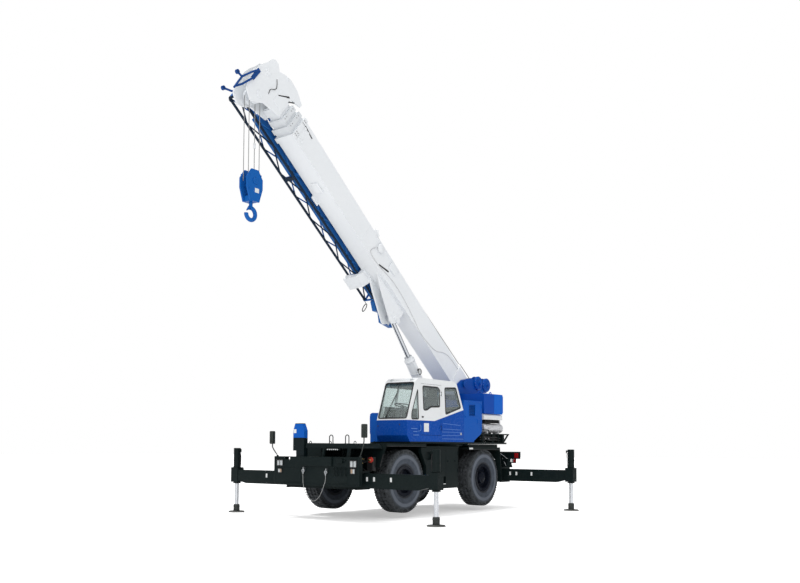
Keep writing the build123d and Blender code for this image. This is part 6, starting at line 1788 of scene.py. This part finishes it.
for s in (3.78, 9.80):
    for y, n in ((-0.325, -0.06), (-0.640, -0.06), (-0.640, -0.42), (-0.325, -0.42)):
        round_bar(bm, (s - 0.03, y, n), (s + 0.03, y, n), 0.042, 20, 0.006)
keep("jib_clamps", bm, jib_blue, "boom", along_boom)
bm = bmesh.new()
hose(bm, [(3.74 + 0.045 * p.x, -0.52, -0.70 + 0.13 * p.z) for p in ring_points(0, 0, 0, 1, 12)], 0.011, 8, 3,
     True)
hose(bm, [(3.80, -0.60, -0.44), (3.79, -0.57, -0.52), (3.76, -0.52, -0.575)], 0.008, 8)
keep("jib_ring", bm, chassis_black, "boom", along_boom)
bm = bmesh.new()
plate(bm, 7.02, 7.30, -0.10, 0.10, -0.335, -0.298, 0.010)
plate(bm, 6.72, 6.98, -0.300, -0.258, -0.36, -0.02, 0.010)
for s in (6.78, 6.92):
    round_bar(bm, (s, -0.302, -0.19), (s, -0.318, -0.19), 0.030, 16, 0.003)
keep("jib_seat_plates", bm, boom_white, "boom", along_boom)

# Elevating cylinder
# White barrel pinned low between the side plates, hard-chromed rod pinned under the boom.
# A bolted gland closes the barrel; an angle dial and a pressure pipe are clamped to it.
lift_pin, rod_pin = Vector((-1.567, 0, 2.045)), Vector((0.7722, 0, 4.9757))
lift_angle = math.atan2(rod_pin.z - lift_pin.z, rod_pin.x - lift_pin.x)
along_lift = Matrix.Translation(lift_pin) @ Matrix.Rotation(-lift_angle, 4, "Y")
barrel_white = enamel("barrel_white", None, 0.28, 0.12, 1.9, 4.2, dust=(0.40, 0.40, 0.40),
                      colour_socket=boom_colours, coat=0.35)
finish_node("luff_barrel", barrel_white)
chrome = patterned("hard_chrome", clouds(3.0, 5.0), ((0.52, 0.54, 0.57), (0.70, 0.72, 0.75)),
                   (0.3, 0.7, 0.08, 0.22), metallic=1.0)
finish_node("luff_rod", chrome)
barrel_radius, barrel_length = 0.130, 2.540
bm = bmesh.new()
for s in (0.30, 1.20, 2.05):
    strap(bm, barrel_radius, 0.002, 0.006, 0.020, (s, 0, 0))
strap(bm, barrel_radius, 0.004, 0.008, 0.03, (barrel_length - 0.115, 0, 0))
pipe_y = 0.155
hose(bm, [(0.24, 0.10, -0.07), (0.26, pipe_y, -0.075), (0.40, pipe_y, -0.08), (1.20, pipe_y, -0.08),
          (2.20, pipe_y, -0.08), (2.36, pipe_y, -0.075), (2.40, 0.10, -0.05)], 0.012, 10)
for s in (0.45, 1.20, 2.05):
    plate(bm, s - 0.02, s + 0.02, 0.095, 0.172, -0.10, -0.06, 0.005)
plate(bm, 0.14, 0.32, 0.105, 0.165, -0.11, 0.01, 0.014, 2)
keep("barrel_pipes", bm, barrel_white, "cylinder_barrel", along_lift)
bm = bmesh.new()
turned(bm, [(0, 0.012), (0.066, 0.012), (0.070, 0.006), (0.070, -0.03)], (2.06, 0.158, 0.0), "Y", 32)
keep("angle_dial_face", bm, blank_white, "cylinder_barrel", along_lift)
bm = bmesh.new()
turned(bm, [(0.066, -0.028), (0.084, -0.028), (0.086, 0.010), (0.074, 0.022), (0.068, 0.020), (0.067, 0.008)],
       (2.06, 0.158, 0.0), "Y", 32)
cut_plate(bm, [(2.055, 0.002), (2.060, 0.046), (2.065, 0.002), (2.060, -0.012)], "Y", 0.169, 0.173)
plate(bm, 2.02, 2.10, 0.115, 0.135, -0.02, 0.02, 0.003)
keep("angle_dial_rim", bm, rubber, "cylinder_barrel", along_lift)
gland_bolts = [(barrel_length + 0.001, p.x, p.z) for p in ring_points(0, 0, 0, 0.088, 12, 15)]
bolts("gland_bolts", gland_bolts, "X", 0.009, zinc, "cylinder_barrel", along_lift)

# Hook block and ropes
# Two blue cheek plates over one sheave pair, with a forged hook below; four falls of wire rope.
# A bare white label sits on the cheek; a switch weight rides on one fall.
head_x = 5.7026
# Blue paint, lifted a little as painted highlight for the shine on the block's cheeks.
hook_blue_with_painted_highlight = enamel("hook_blue_with_painted_highlight", (0.006, 0.110, 0.42), 0.34, 0.10, 6.0, 8.0, dust=(0.06, 0.12, 0.20), coat=0.2)
finish_node("hook_block", hook_blue_with_painted_highlight)
finish_node("rope_falls", wire_rope)
axle_z = 7.330
bm = bmesh.new()
for side in (-1, 1):
    face = side * 0.125
    round_bar(bm, (head_x, face, axle_z), (head_x, face + side * 0.020, axle_z), 0.070, 28, 0.005)
    plate(bm, head_x - 0.055, head_x + 0.055, face + side * 0.018, face + side * 0.026, axle_z - 0.012,
          axle_z + 0.012, 0.003)
    for x, z in ((-0.16, 7.47), (0.16, 7.47), (-0.16, 7.16), (0.16, 7.16)):
        round_bar(bm, (head_x + x, face, z), (head_x + x, face + side * 0.012, z), 0.020, 6, 0.002)
for y in (-0.026, 0.026):
    hose(bm, [(head_x + 0.030, y, 6.800), (head_x + 0.052, y, 6.762), (head_x + 0.098, y, 6.700)], 0.008, 8)
cut_plate(bm, [(head_x + 0.030, 6.802), (head_x + 0.052, 6.806), (head_x + 0.112, 6.706),
               (head_x + 0.094, 6.694)], "Y", -0.022, 0.022, 0.003)
keep("hook_block_bosses", bm, hook_blue_with_painted_highlight, "hook")
bm = bmesh.new()
plate(bm, head_x - 0.115, head_x + 0.005, 0.124, 0.128, 7.085, 7.180, 0.002)
keep("blank_hook_label", bm, blank_white, "hook")
bm = bmesh.new()
turned(bm, [(0.009, -0.06), (0.024, -0.058), (0.028, -0.048), (0.028, 0.048), (0.024, 0.058), (0.009, 0.06)],
       (head_x - 0.155, -0.075, 8.17), "Z", 24)
keep("switch_weight", bm, white_sheet, "hook")

low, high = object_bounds()
